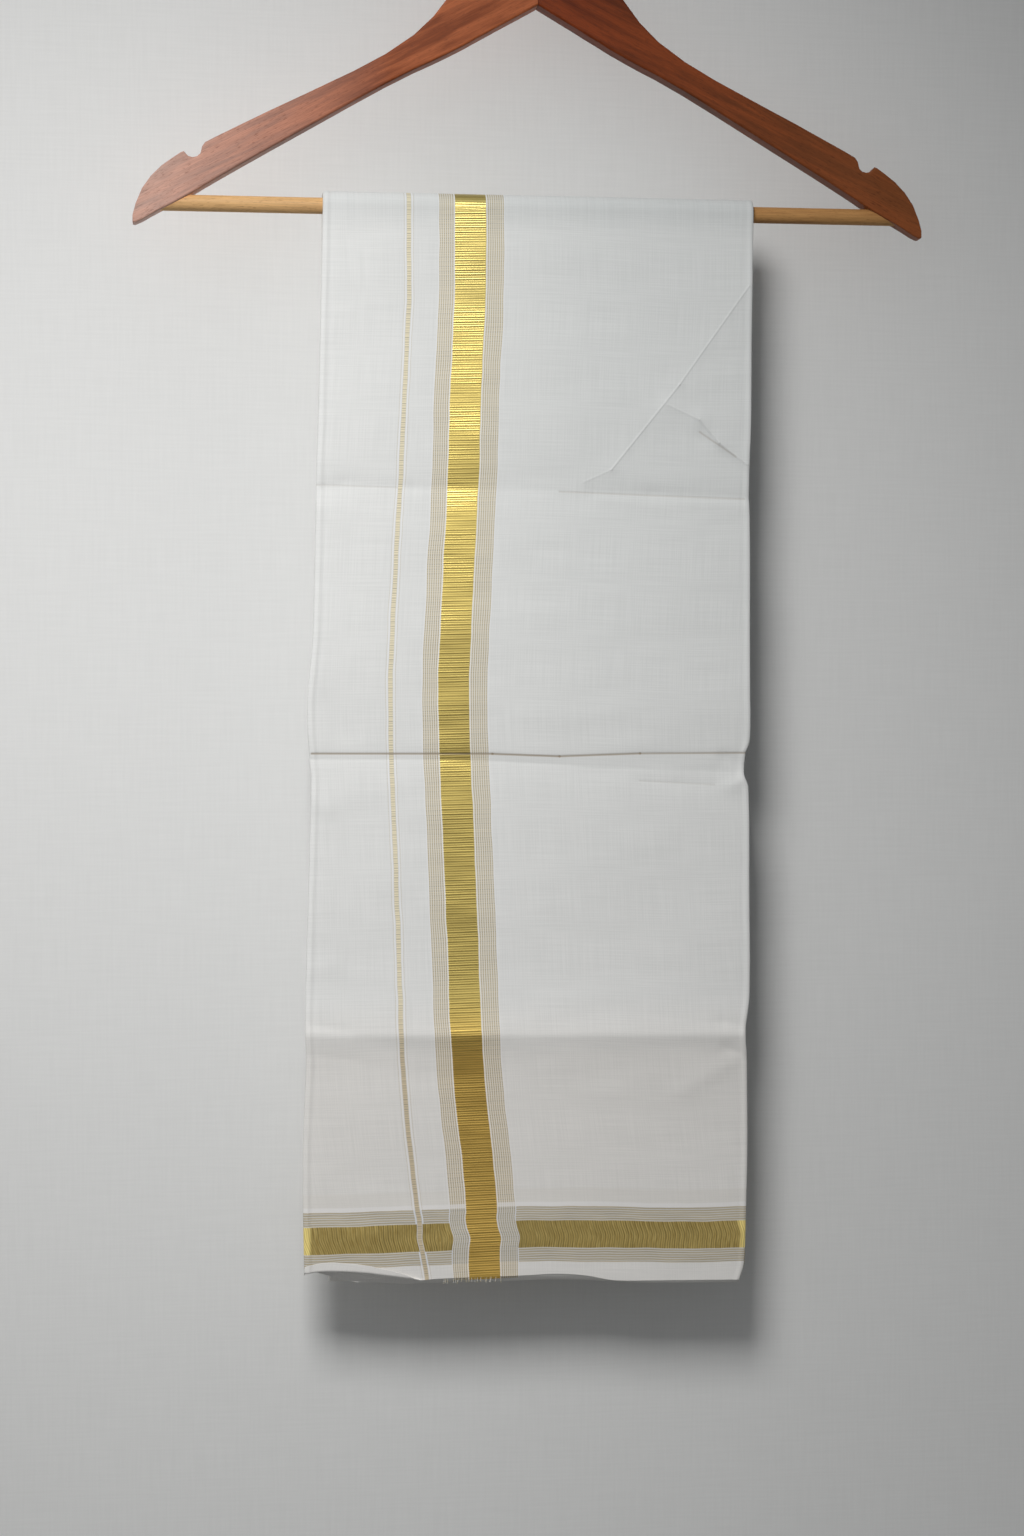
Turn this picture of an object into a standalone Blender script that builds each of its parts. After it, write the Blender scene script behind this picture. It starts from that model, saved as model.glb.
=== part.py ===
# Double dhoti, folded to a strip and hung over the bar of a flat wooden coat hanger.
#
# Frame: X to the right, the front faces -Y, +Z up. The origin is the inside top of
# the hook, where it sits on a rail. Lengths in the tables are millimetres.
#
# The cloth is folded in half four times along its length, so the strip is sixteen
# plies thick. Its outer ply is a thin wall that wraps both side folds, in three
# stretches: the front fall, the crown over the bar and the back fall. The fourteen
# plies and more behind it are one rounded solid for each stretch, layered at the
# right side and at the bottom.

import math

import bmesh
import bpy
from mathutils import Vector

MM = 0.001
GAP = 0.3                        # clearance between neighbouring pieces

# Hook: wire bent to a question mark
WIRE_RADIUS = 1.75
HOOK_INNER_RADIUS = 18.0
HOOK_NECK_RADIUS = 9.0           # the small bend between the shank and the loop
HOOK_TIP_ANGLE = 205.0           # where the loop ends, degrees from +X
WIRE_SIDES = 10

# Hanger
BAR_DROP = 222.0                 # bar centre below the rail
BAR_RADIUS = 4.5
BAR_HALF_LENGTH = 220.2
BAR_SIDES = 24
BAR_END_CHAMFER = 0.8
NECK_RISE = 156.0                # top of the wood above the bar centre
ARM_DEPTH = 13.0
ARM_END_DEPTH = 10.0
ARM_EDGE_ROUND = 2.6
SHANK_SOCKET = 14.0              # how deep the shank goes into the wood

# Cloth
CLOTH_LENGTH = 4000.0            # the whole cut, along the warp
LENGTH_FOLDS = 4                 # folded in half this many times
FRONT_DROP = 617.0               # bar centre to the front ply's edge
BACK_DROP = 622.0
OUTER_WALL = 1.0                 # the outer ply, thicker than the real cotton
OUTER_ROUND = 1.0                # the outer ply's turn at its right side
INNER_THICKNESS = 2.4            # the plies behind it, pressed together
INNER_ROUND = 0.5
REAR_FOLD_REACH = 2.5            # how far the rear folds stand out on the right
REAR_FOLD_THICKNESS = 1.7        # two folds, one on the other
CROWN_STEPS = 9
FIRST_BULGE = 24.0               # below the bar, where the creases begin
LAYER_STEP = 4.5                 # the innermost ply ends this much lower than the outer

HALF_WIDTH = CLOTH_LENGTH / 2 ** LENGTH_FOLDS / 2
STACK = INNER_THICKNESS + GAP + OUTER_WALL
INNERMOST_RADIUS = BAR_RADIUS + GAP

# Arm outline on the right half, seen from the front.
# across: distance from the centre joint; top, bottom: heights above the bar centre
ARM_SECTIONS = (
    # across, top, bottom
    (0.15, 156.0, 117.5),
    (3.0, 155.8, 115.8),
    (12.0, 154.8, 110.6),
    (22.0, 152.0, 104.9),
    (30.0, 147.6, 100.2),
    (36.0, 142.4, 96.8),
    (42.0, 134.4, 93.2),
    (47.0, 126.8, 90.5),
    (52.0, 120.0, 87.8),
    (60.0, 109.4, 83.7),
    (71.0, 98.6, 78.4),
    (87.0, 87.2, 69.8),
    (105.0, 77.0, 59.4),
    (132.0, 63.3, 43.4),
    (153.0, 52.8, 31.0),
    (170.0, 44.0, 20.9),
    (183.0, 37.2, 13.0),
    (188.8, 34.0, 9.4),
    (190.4, 31.6, 8.4),
    (191.4, 27.6, 7.7),
    (193.2, 25.9, 6.6),
    (195.6, 25.3, 5.1),
    (198.0, 25.8, 3.7),
    (199.6, 27.4, 2.8),
    (200.6, 28.6, 2.2),
    (202.4, 28.0, 1.2),
    (207.0, 24.8, -1.4),
    (213.0, 20.4, -4.3),
    (219.0, 14.4, -7.8),
    (224.0, 7.2, -10.9),
    (227.6, -1.6, -12.5),
    (229.3, -8.0, -12.3),
)

# Side edges of the strip, seen from the front: how far each lies outside half its width
FRONT_EDGES = (
    # drop, left_out, right_out
    (0.0, 0.2, -1.4),
    (55.0, 1.2, -1.8),
    (121.0, 2.3, -3.0),
    (147.0, 2.9, -3.9),
    (166.0, 3.5, -3.6),
    (180.0, 3.8, -3.4),
    (250.0, 5.2, -3.4),
    (300.0, 5.7, -3.6),
    (316.0, 5.9, -5.0),
    (323.0, 6.2, -5.6),
    (332.0, 6.6, -4.4),
    (400.0, 7.5, -4.4),
    (456.0, 8.6, -4.2),
    (477.0, 8.9, -4.3),
    (491.0, 9.1, -5.4),
    (540.0, 9.5, -5.2),
    (575.0, 9.9, -6.2),
    (600.0, 10.1, -7.0),
    (617.0, 10.2, -7.2),
)
BACK_EDGES = (
    # drop, left_out, right_out
    (0.0, 0.2, -1.4),
    (60.0, -0.6, -1.0),
    (160.0, -1.8, -0.4),
    (240.0, -2.4, 0.0),
    (315.0, -2.8, -1.2),
    (380.0, -3.2, 0.0),
    (475.0, -3.4, -0.4),
    (560.0, -4.0, -1.0),
    (622.0, -4.2, -1.4),
)

# How far each height of a fall stands towards the viewer of that side
FRONT_STAND = (
    # drop, stand
    (0.0, 0.0),
    (60.0, 0.9),
    (120.0, 1.7),
    (160.0, 1.9),
    (200.0, 2.3),
    (250.0, 2.8),
    (285.0, 2.4),
    (305.0, 1.7),
    (335.0, 1.6),
    (400.0, 0.6),
    (445.0, -0.4),
    (500.0, -1.6),
    (540.0, -3.0),
    (575.0, -3.7),
    (600.0, -3.5),
    (622.0, -3.2),
)
BACK_STAND = (
    # drop, stand
    (0.0, 0.0),
    (70.0, 0.9),
    (150.0, 1.0),
    (230.0, 1.9),
    (300.0, 1.2),
    (340.0, 0.8),
    (400.0, 0.0),
    (450.0, -0.3),
    (500.0, -0.9),
    (560.0, -1.6),
    (622.0, -1.4),
)

# Creases pressed in while the strip lay folded, across the whole width.
# left, middle, right: drop there; height: ridge above 0, valley below
FRONT_CREASES = (
    # left, middle, right, height, reach_above, reach_below
    (162.5, 163.0, 166.0, -0.8, 7.0, 7.0),
    (316.0, 316.5, 314.5, -2.4, 4.5, 10.0),
    (476.5, 477.5, 478.5, 2.4, 20.0, 11.0),
)
BACK_CREASES = (
    # left, middle, right, height, reach_above, reach_below
    (152.0, 150.0, 149.0, 1.2, 12.0, 12.0),
    (311.0, 313.0, 312.0, -2.0, 8.0, 9.0),
    (470.0, 472.0, 475.0, 1.8, 15.0, 18.0),
)

# Slanting creases: soft ridges between two places on a fall
FRONT_SLANTS = (
    # x_start, drop_start, x_end, drop_end, height, reach
    (123.0, 48.0, 72.0, 117.0, 0.9, 9.0),
    (72.0, 117.0, 28.0, 158.0, 0.8, 8.0),
    (72.0, 114.0, 122.0, 146.0, 0.8, 6.0),
)
BACK_SLANTS = (
    # x_start, drop_start, x_end, drop_end, height, reach
    (-118.0, 372.0, -52.0, 455.0, 0.9, 9.0),
    (112.0, 60.0, 60.0, 132.0, 0.8, 9.0),
)
CREASE_SOFTNESS = 1.2            # rounding at the crest of a crease

# Columns across the front of the strip, denser where the slanting creases are
COLUMNS = (-0.82, -0.62, -0.42, -0.22, -0.02, 0.18, 0.36, 0.52, 0.66, 0.79, 0.9)

# Rows down each fall, denser at the creases
FRONT_ROWS = (
    3, 24, 48, 72, 94, 114, 134, 150, 158, 164, 172, 190, 220, 250, 280, 300, 309,
    316, 323, 332, 350, 385, 420, 446, 462, 472, 478, 486, 498, 516, 545, 575, 600,
)
BACK_ROWS = (
    3, 32, 66, 100, 128, 142, 151, 162, 185, 220, 260, 292, 304, 313, 322, 338, 372,
    410, 442, 460, 472, 484, 502, 535, 572, 600,
)

COTTON = (0.78, 0.79, 0.77)
COTTON_SHADE = (0.70, 0.70, 0.67)
WALNUT = (0.20, 0.085, 0.045)
HONEY_WOOD = (0.52, 0.28, 0.11)
STEEL = (0.62, 0.62, 0.63)


def clear_scene():
    for item in list(bpy.data.objects):
        bpy.data.objects.remove(item, do_unlink=True)


def material(name, color, roughness, metallic=0.0):
    slot = bpy.data.materials.new(name)
    slot.use_nodes = True
    shader = slot.node_tree.nodes["Principled BSDF"]
    shader.inputs["Base Color"].default_value = (*color, 1.0)
    shader.inputs["Roughness"].default_value = roughness
    shader.inputs["Metallic"].default_value = metallic
    return slot


def add_object(name, mesh, slot):
    mesh.materials.append(slot)
    item = bpy.data.objects.new(name, mesh)
    bpy.context.scene.collection.objects.link(item)
    return item


def loft(name, rings, slot, smooth_angle=40.0):
    """A closed body through rings of points in millimetres, capped at both ends."""
    build = bmesh.new()
    loops = [[build.verts.new(Vector(point) * MM) for point in ring] for ring in rings]
    count = len(loops[0])
    for near, far in zip(loops, loops[1:]):
        for i in range(count):
            j = (i + 1) % count
            a, b, c, d = near[i], near[j], far[j], far[i]
            # the same diagonal on neighbouring surfaces keeps the gap between them even
            if a.co.x <= b.co.x:
                build.faces.new((a, b, c))
                build.faces.new((a, c, d))
            else:
                build.faces.new((a, b, d))
                build.faces.new((b, c, d))
    build.faces.new(loops[0][::-1])
    build.faces.new(loops[-1])
    bmesh.ops.triangulate(build, faces=[f for f in build.faces if len(f.verts) > 4])
    bmesh.ops.recalc_face_normals(build, faces=build.faces)
    mesh = bpy.data.meshes.new(name)
    build.to_mesh(mesh)
    build.free()
    mesh.shade_smooth()
    mesh.set_sharp_from_angle(angle=math.radians(smooth_angle))
    return add_object(name, mesh, slot)


def read_table(rows, at, column):
    """A smooth curve through one column of a table whose first column rises."""
    if at <= rows[0][0]:
        return rows[0][column]
    if at >= rows[-1][0]:
        return rows[-1][column]
    k = next(i for i in range(len(rows) - 1) if at <= rows[i + 1][0])

    def slope(i):
        before, after = rows[max(i - 1, 0)], rows[min(i + 1, len(rows) - 1)]
        return (after[column] - before[column]) / (after[0] - before[0])

    span = rows[k + 1][0] - rows[k][0]
    t = (at - rows[k][0]) / span
    start, end = rows[k][column], rows[k + 1][column]
    return ((2 * t ** 3 - 3 * t ** 2 + 1) * start + (t ** 3 - 2 * t ** 2 + t) * span * slope(k)
            + (3 * t ** 2 - 2 * t ** 3) * end + (t ** 3 - t ** 2) * span * slope(k + 1))


def ease(t):
    t = min(max(t, 0.0), 1.0)
    return t * t * (3 - 2 * t)


def crest(distance, reach):
    """1 on the crease, falling to 0 on both sides, a little rounded at the top."""
    away = math.sqrt(distance ** 2 + CREASE_SOFTNESS ** 2) - CREASE_SOFTNESS
    return math.exp(-away / reach)


def relief(stand, creases, slants, x, drop):
    """How far the cloth stands out at one place, from its tables."""
    out = read_table(stand, drop, 1)
    across = (x + HALF_WIDTH) / (2 * HALF_WIDTH)
    for left, middle, right, height, above, below in creases:
        line = (left * (1 - across) * (1 - 2 * across) + middle * 4 * across * (1 - across)
                + right * across * (2 * across - 1))
        reach = above if drop < line else below
        out += height * crest(drop - line, reach)
    for x0, d0, x1, d1, height, reach in slants:
        run = Vector((x1 - x0, d1 - d0))
        here = Vector((x - x0, drop - d0))
        along = here.dot(run) / run.length_squared
        beyond = max(-along, along - 1.0, 0.0) * run.length
        aside = here.x * run.y - here.y * run.x
        out += height * crest(aside / run.length, reach) * math.exp(-(beyond / reach) ** 2)
    return out * ease(drop / FIRST_BULGE)


def fall(side):
    """The tables and direction of one fall: 'front' faces -Y, 'back' faces +Y."""
    if side == "front":
        return FRONT_EDGES, (FRONT_STAND, FRONT_CREASES, FRONT_SLANTS), -1.0
    return BACK_EDGES, (BACK_STAND, BACK_CREASES, BACK_SLANTS), 1.0


def place_on_fall(side, drop):
    """Turns (x, depth from the bar side) into a point of that fall at that drop."""
    _, shape, facing = fall(side)

    def place(x, depth, lower=0.0):
        y = facing * (INNERMOST_RADIUS + depth + relief(*shape, x, drop))
        return (x, y, -BAR_DROP - drop - lower)

    return place


def place_on_crown(angle):
    """The same round the bar; angle 0 is the front, 180 degrees the back."""
    def place(x, depth, lower=0.0):
        radius = INNERMOST_RADIUS + depth
        return (x, -radius * math.cos(angle), -BAR_DROP + radius * math.sin(angle))

    return place


def side_edges(edges, drop):
    return -HALF_WIDTH - read_table(edges, drop, 1), HALF_WIDTH + read_table(edges, drop, 2)


def column_places(left, right):
    middle, half = (left + right) / 2, (right - left) / 2
    return [middle + half * column for column in COLUMNS]


def arc(x, depth, radius_x, radius_depth, start, end, steps):
    """Points of an arc in a section of the strip, angles in degrees."""
    turns = [math.radians(start + (end - start) * i / steps) for i in range(steps + 1)]
    return [(x + radius_x * math.cos(t), depth + radius_depth * math.sin(t)) for t in turns]


def outer_ply_ring(place, left, right):
    """The outer ply: a wall that wraps the whole left side and half of the right."""
    half = STACK / 2
    inner_round = OUTER_ROUND - OUTER_WALL + GAP
    lip = REAR_FOLD_THICKNESS + GAP
    columns = column_places(left, right)
    outside = arc(left + half, half, half, half, 230, 90, 4)
    outside += [(x, STACK) for x in columns]
    outside += arc(right - OUTER_ROUND, STACK - OUTER_ROUND, OUTER_ROUND, OUTER_ROUND, 90, 0, 2)
    outside.append((right, lip))
    bend, face = half - OUTER_WALL, STACK - OUTER_WALL
    inside = arc(left + half, half, bend, bend, 230, 90, 4)
    inside += [(x, face) for x in columns]
    inside += arc(right - OUTER_WALL - inner_round, face - inner_round,
                  inner_round, inner_round, 90, 0, 2)
    inside.append((right - OUTER_WALL, lip))
    return [place(x, depth) for x, depth in outside + inside[::-1]]


def inner_layers_ring(place, left, right, lower=0.0):
    """The plies behind: round at the left, two rear folds standing out on the right."""
    face = INNER_THICKNESS
    start, edge = left + OUTER_WALL + GAP, right - OUTER_WALL - GAP
    fold = REAR_FOLD_THICKNESS / 4
    tip = right + REAR_FOLD_REACH - fold
    columns = column_places(left, right)
    points = arc(start + INNER_ROUND, face / 2, INNER_ROUND, face / 2, 270, 90, 4)
    points += [(x, face) for x in columns]
    points += arc(edge - INNER_ROUND, face - INNER_ROUND, INNER_ROUND, INNER_ROUND, 90, 0, 1)
    points.append((edge, REAR_FOLD_THICKNESS))
    points += arc(tip, 3 * fold, fold, fold, 90, -60, 2)
    points += arc(tip, fold, fold, fold, 30, -90, 2)
    points += [(x, 0.0) for x in reversed(columns)]
    return [place(x, depth, lower * (1.0 - depth / face)) for x, depth in points]


def make_falls(cotton, shade):
    for side, rows, drop_end in (("front", FRONT_ROWS, FRONT_DROP), ("back", BACK_ROWS, BACK_DROP)):
        edges = fall(side)[0]

        outer, inner = [], []
        for drop in (*rows, drop_end):
            place = place_on_fall(side, drop)
            outer.append(outer_ply_ring(place, *side_edges(edges, drop)))
            inner.append(inner_layers_ring(place, *side_edges(edges, drop)))
        inner.append(inner_layers_ring(place, *side_edges(edges, drop_end), lower=LAYER_STEP))
        loft(side + "_fall", outer, cotton)
        loft("inner_layers_" + side, inner, shade)


def make_crown(cotton, shade):
    """The stretch over the bar, from just above one fall to just above the other."""
    left, right = side_edges(FRONT_EDGES, 0.0)
    opening = -math.asin((FRONT_ROWS[0] - GAP) / (INNERMOST_RADIUS + STACK))
    angles = [opening + (math.pi - 2 * opening) * i / CROWN_STEPS for i in range(CROWN_STEPS + 1)]
    loft("crown", [outer_ply_ring(place_on_crown(a), left, right) for a in angles], cotton)
    loft("inner_layers_crown",
         [inner_layers_ring(place_on_crown(a), left, right) for a in angles], shade)


def arm_ring(across, top, bottom, mirror):
    """A rounded upright section of the flat wood, thinner towards the tip."""
    depth = ARM_DEPTH + (ARM_END_DEPTH - ARM_DEPTH) * ease((across - 195.0) / 34.0)
    half = depth / 2
    corner = min(ARM_EDGE_ROUND, (top - bottom) * 0.3)
    points = []
    for side_y, side_z, start in ((1, 1, 0), (-1, 1, 90), (-1, -1, 180), (1, -1, 270)):
        y = side_y * (half - corner)
        z = (top - corner) if side_z > 0 else (bottom + corner)
        for degrees in (start, start + 45, start + 90):
            turn = math.radians(degrees)
            points.append((y + corner * math.cos(turn), z + corner * math.sin(turn)))
    return [(mirror * across, y, z - BAR_DROP) for y, z in points]


def cutter(name, start, end, radius, sides):
    """A hidden cylinder between two points, for cutting a socket."""
    start, end = Vector(start) * MM, Vector(end) * MM
    build = bmesh.new()
    bmesh.ops.create_cone(build, cap_ends=True, segments=sides, radius1=radius * MM,
                          radius2=radius * MM, depth=(end - start).length)
    turn = (end - start).to_track_quat("Z", "Y")
    bmesh.ops.rotate(build, verts=build.verts, matrix=turn.to_matrix())
    bmesh.ops.translate(build, verts=build.verts, vec=(start + end) / 2)
    mesh = bpy.data.meshes.new(name)
    build.to_mesh(mesh)
    build.free()
    item = bpy.data.objects.new(name, mesh)
    bpy.context.scene.collection.objects.link(item)
    item.hide_render = True
    item.display_type = "WIRE"
    return item


def cut(item, tool):
    modifier = item.modifiers.new(tool.name, "BOOLEAN")
    modifier.operation = "DIFFERENCE"
    modifier.solver = "EXACT"
    modifier.object = tool


def make_arms(wood):
    """Two flat arms that meet at a mitre, with a strap notch near each tip."""
    neck_top = NECK_RISE - BAR_DROP
    shank = cutter("shank_socket", (0, 0, neck_top - SHANK_SOCKET), (0, 0, neck_top + 5),
                   WIRE_RADIUS + GAP, WIRE_SIDES)
    for name, mirror in (("hanger_arm_left", -1), ("hanger_arm_right", 1)):
        arm = loft(name, [arm_ring(*section, mirror) for section in ARM_SECTIONS], wood)
        bore = cutter(name + "_bar_socket", (mirror * 190, 0, -BAR_DROP),
                      (mirror * (BAR_HALF_LENGTH + GAP), 0, -BAR_DROP), BAR_RADIUS + GAP, BAR_SIDES)
        cut(arm, bore)
        cut(arm, shank)


def circle_ring(centre, along, radius, sides, across=Vector((0, 1, 0))):
    second = along.cross(across).normalized()
    return [centre + across * radius * math.cos(2 * math.pi * i / sides)
            + second * radius * math.sin(2 * math.pi * i / sides) for i in range(sides)]


def make_bar(wood):
    along = Vector((1, 0, 0))
    stations = ((-BAR_HALF_LENGTH, BAR_RADIUS - BAR_END_CHAMFER),
                (-BAR_HALF_LENGTH + BAR_END_CHAMFER, BAR_RADIUS),
                (BAR_HALF_LENGTH - BAR_END_CHAMFER, BAR_RADIUS),
                (BAR_HALF_LENGTH, BAR_RADIUS - BAR_END_CHAMFER))
    rings = [circle_ring(Vector((x, 0, -BAR_DROP)), along, radius, BAR_SIDES)
             for x, radius in stations]
    loft("trouser_bar", rings, wood)


def hook_route():
    """Centre line of the wire: shank, small bend to the right, then round the loop."""
    loop_radius = HOOK_INNER_RADIUS + WIRE_RADIUS
    loop_centre = Vector((0, 0, -HOOK_INNER_RADIUS))
    rise = math.sqrt((loop_radius + HOOK_NECK_RADIUS) ** 2 - HOOK_NECK_RADIUS ** 2)
    bend_centre = Vector((HOOK_NECK_RADIUS, 0, loop_centre.z - rise))
    meet = math.atan2(rise, -HOOK_NECK_RADIUS)
    shank_end = NECK_RISE - BAR_DROP - SHANK_SOCKET + GAP
    route = [Vector((0, 0, shank_end)), Vector((0, 0, (shank_end + bend_centre.z) / 2))]
    bend_steps, loop_steps = 6, 22
    for i in range(bend_steps):
        turn = math.pi + (meet - math.pi) * i / bend_steps
        route.append(bend_centre + HOOK_NECK_RADIUS * Vector((math.cos(turn), 0, math.sin(turn))))
    start, end = meet - math.pi, math.radians(HOOK_TIP_ANGLE)
    for i in range(loop_steps + 1):
        turn = start + (end - start) * i / loop_steps
        route.append(loop_centre + loop_radius * Vector((math.cos(turn), 0, math.sin(turn))))
    return route


def make_hook(steel):
    route = hook_route()
    rings = []
    for i, centre in enumerate(route):
        along = (route[min(i + 1, len(route) - 1)] - route[max(i - 1, 0)]).normalized()
        rings.append(circle_ring(centre, along, WIRE_RADIUS, WIRE_SIDES))
    tip_along = (route[-1] - route[-2]).normalized()
    for forward, shrink in ((0.6, 0.9), (1.2, 0.6)):
        rings.append(circle_ring(route[-1] + tip_along * forward * WIRE_RADIUS, tip_along,
                                 WIRE_RADIUS * shrink, WIRE_SIDES))
    loft("hanger_hook", rings, steel)


def main():
    clear_scene()
    cotton = material("white_cotton", COTTON, 0.85)
    shade = material("white_cotton_inner", COTTON_SHADE, 0.9)
    walnut = material("stained_wood", WALNUT, 0.4)
    honey = material("bar_wood", HONEY_WOOD, 0.45)
    steel = material("hook_steel", STEEL, 0.25, 1.0)
    make_arms(walnut)
    make_bar(honey)
    make_hook(steel)
    make_crown(cotton, shade)
    make_falls(cotton, shade)


main()
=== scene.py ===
# %% [markdown]
# # A folded dhoti on a wooden hanger
# The imported model gives the frame: every piece made here sits where its solid says.
# part_box reads the box of one of those solids.

import math

import bpy
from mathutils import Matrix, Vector, noise


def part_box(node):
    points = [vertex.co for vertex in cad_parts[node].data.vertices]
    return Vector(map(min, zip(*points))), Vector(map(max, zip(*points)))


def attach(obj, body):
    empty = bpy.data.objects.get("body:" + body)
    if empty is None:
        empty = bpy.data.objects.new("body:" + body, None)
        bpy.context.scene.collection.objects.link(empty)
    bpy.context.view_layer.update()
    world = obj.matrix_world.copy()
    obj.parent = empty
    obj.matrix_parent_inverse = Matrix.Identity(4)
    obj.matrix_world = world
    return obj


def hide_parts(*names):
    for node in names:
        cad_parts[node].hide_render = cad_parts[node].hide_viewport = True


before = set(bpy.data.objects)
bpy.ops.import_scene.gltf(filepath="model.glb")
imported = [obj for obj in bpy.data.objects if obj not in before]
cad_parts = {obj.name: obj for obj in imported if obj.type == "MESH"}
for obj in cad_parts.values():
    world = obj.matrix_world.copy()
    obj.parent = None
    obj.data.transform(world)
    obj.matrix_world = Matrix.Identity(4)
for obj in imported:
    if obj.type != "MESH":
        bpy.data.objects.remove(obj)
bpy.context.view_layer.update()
MM = 0.001

# %% [markdown]
# ## The view
# The photograph is taken level, a little from the left: its level lines drop to the
# right above the middle and rise below it. That gives a camera 6.6 degrees round to
# the left, 1.75 m away, at the height of the picture's middle. Sizes below are in
# millimetres from the centre of the trouser bar.

# %% Camera
bar_low, bar_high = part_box("trouser_bar")
BAR_Z = (bar_low.z + bar_high.z) / 2
PICTURE_HEIGHT = 1536            # pixels
SENSOR_SIZE = 36.0               # along the long side of the picture
FOCAL_PIXELS = 3017.0            # the distance over the size of a pixel at the bar
CAMERA_PLACE = Vector((-215.5, -1736.7, -323.4))
CAMERA_TURN = math.radians(-6.6)


def from_bar(x, y, z):
    """Millimetres from the bar's centre to a place in the frame, in metres."""
    return Vector((x * MM, y * MM, z * MM + BAR_Z))


def new_object(name, data):
    item = bpy.data.objects.new(name, data)
    bpy.context.scene.collection.objects.link(item)
    return item


lens = bpy.data.cameras.new("photo_camera")
lens.sensor_width = SENSOR_SIZE
lens.lens = FOCAL_PIXELS / PICTURE_HEIGHT * SENSOR_SIZE
lens.clip_start, lens.clip_end = 0.05, 20
bpy.context.scene.view_settings.view_transform = "Standard"
camera = new_object("photo_camera", lens)
camera.location = from_bar(*CAMERA_PLACE)
camera.rotation_euler = (math.radians(90), 0, CAMERA_TURN)
bpy.context.scene.camera = camera
print("camera at", [round(v, 3) for v in camera.location], "lens", round(lens.lens, 1))

# %% [markdown]
# ## Light and backdrop
# Daylight falls from the upper left through something like a large window. One soft
# area light does that, and the room's own light keeps the right side from going dark.
# The pale wall is one-sided, so that it doesn't hide the back of the object when
# another view looks from behind it.

# %% Lights
def area_light(name, place, aim, size, power, color):
    light = bpy.data.lights.new(name, "AREA")
    light.shape = "RECTANGLE"
    light.size, light.size_y = size
    light.energy = power
    light.color = color
    item = new_object(name, light)
    item.location = from_bar(*place)
    item.rotation_euler = (from_bar(*aim) - item.location).to_track_quat("-Z", "Y").to_euler()
    return item


WINDOW_PLACE, WINDOW_AIM = (-376, -1008, 510), (-226, 0, -433)
window = area_light("window", WINDOW_PLACE, WINDOW_AIM, (0.46, 0.46), 3.3, (1.0, 0.99, 0.975))
window.data.spread = math.radians(80)

world = bpy.context.scene.world or bpy.data.worlds.new("World")
bpy.context.scene.world = world
world.use_nodes = True

# %% [markdown]
# A material is a chain of small nodes. These helpers put nodes in a tree and join
# them up, so that a pattern reads from left to right like a sentence.

# %% Node helpers
def plug(tree, socket, value):
    """Joins a socket to another one, or sets its value, or leaves it for None."""
    if isinstance(value, bpy.types.NodeSocket):
        tree.links.new(value, socket)
    elif value is not None:
        socket.default_value = value


def feed(tree, sockets, **values):
    """Plugs in values by the sockets' names, with _ for a space."""
    for name, value in values.items():
        plug(tree, sockets[name.replace("_", " ")], value)


def put(tree, kind, *inputs, out=0, **settings):
    """Adds a node with these inputs and settings. out=None gives the node itself."""
    node = tree.nodes.new("ShaderNode" + kind)
    for key, value in settings.items():
        setattr(node, key, value)
    for socket, value in zip(node.inputs, inputs):
        plug(tree, socket, value)
    return node if out is None else node.outputs[out]


def calc(tree, operation, *inputs, clamp=False):
    return put(tree, "Math", *inputs, operation=operation, use_clamp=clamp)


def times(tree, first, second):
    return calc(tree, "MULTIPLY", first, second)


def remap(tree, value, low, high, start=0.0, end=1.0, **settings):
    """Turns low..high into start..end, and keeps to that range."""
    return put(tree, "MapRange", value, low, high, start, end, **settings)


def scaled(tree, place_node, factors):
    return put(tree, "VectorMath", place_node, factors, operation="MULTIPLY")


def grain(tree, place_node, factors, detail=1.0, *more):
    """Cloudy noise from 0 to 1, pressed together by a factor for each direction."""
    return put(tree, "TexNoise", scaled(tree, place_node, factors), None, 1.0, detail, *more)


def object_place(tree):
    return put(tree, "TexCoord", out=None).outputs["Object"]


def xyz(tree, place_node):
    return put(tree, "SeparateXYZ", place_node, out=None).outputs


def blend_colors(tree, mask, first, second, mode="MIX"):
    node = put(tree, "Mix", out=None, data_type="RGBA", blend_type=mode)
    for name, value in (("Factor_Float", mask), ("A_Color", first), ("B_Color", second)):
        plug(tree, next(s for s in node.inputs if s.identifier == name), value)
    return next(s for s in node.outputs if s.identifier == "Result_Color")


def multiplied(tree, color, factors):
    return blend_colors(tree, 1.0, color, factors, "MULTIPLY")


def tint(tree, mask, color, factors):
    """Multiplies a colour by the factors where the mask is 1."""
    return blend_colors(tree, mask, color, multiplied(tree, color, factors))


def between(tree, value, low, high, soft):
    """1 where value lies between low and high, with soft edges."""
    rise = remap(tree, value, low - soft, low + soft)
    return times(tree, rise, remap(tree, value, high - soft, high + soft, 1.0, 0.0))


def new_material(name, **values):
    item = bpy.data.materials.new(name)
    item.use_nodes = True
    shader = item.node_tree.nodes["Principled BSDF"]
    feed(item.node_tree, shader.inputs, **values)
    return item, item.node_tree, shader


print("node helpers ready")

# %% [markdown]
# The room behind the camera is bright above and dark below. The gold thread mirrors
# it, so a small tilt of the cloth makes the border flash or go dark. The room's
# diffuse share is kept small, because the window does most of the lighting.

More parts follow.
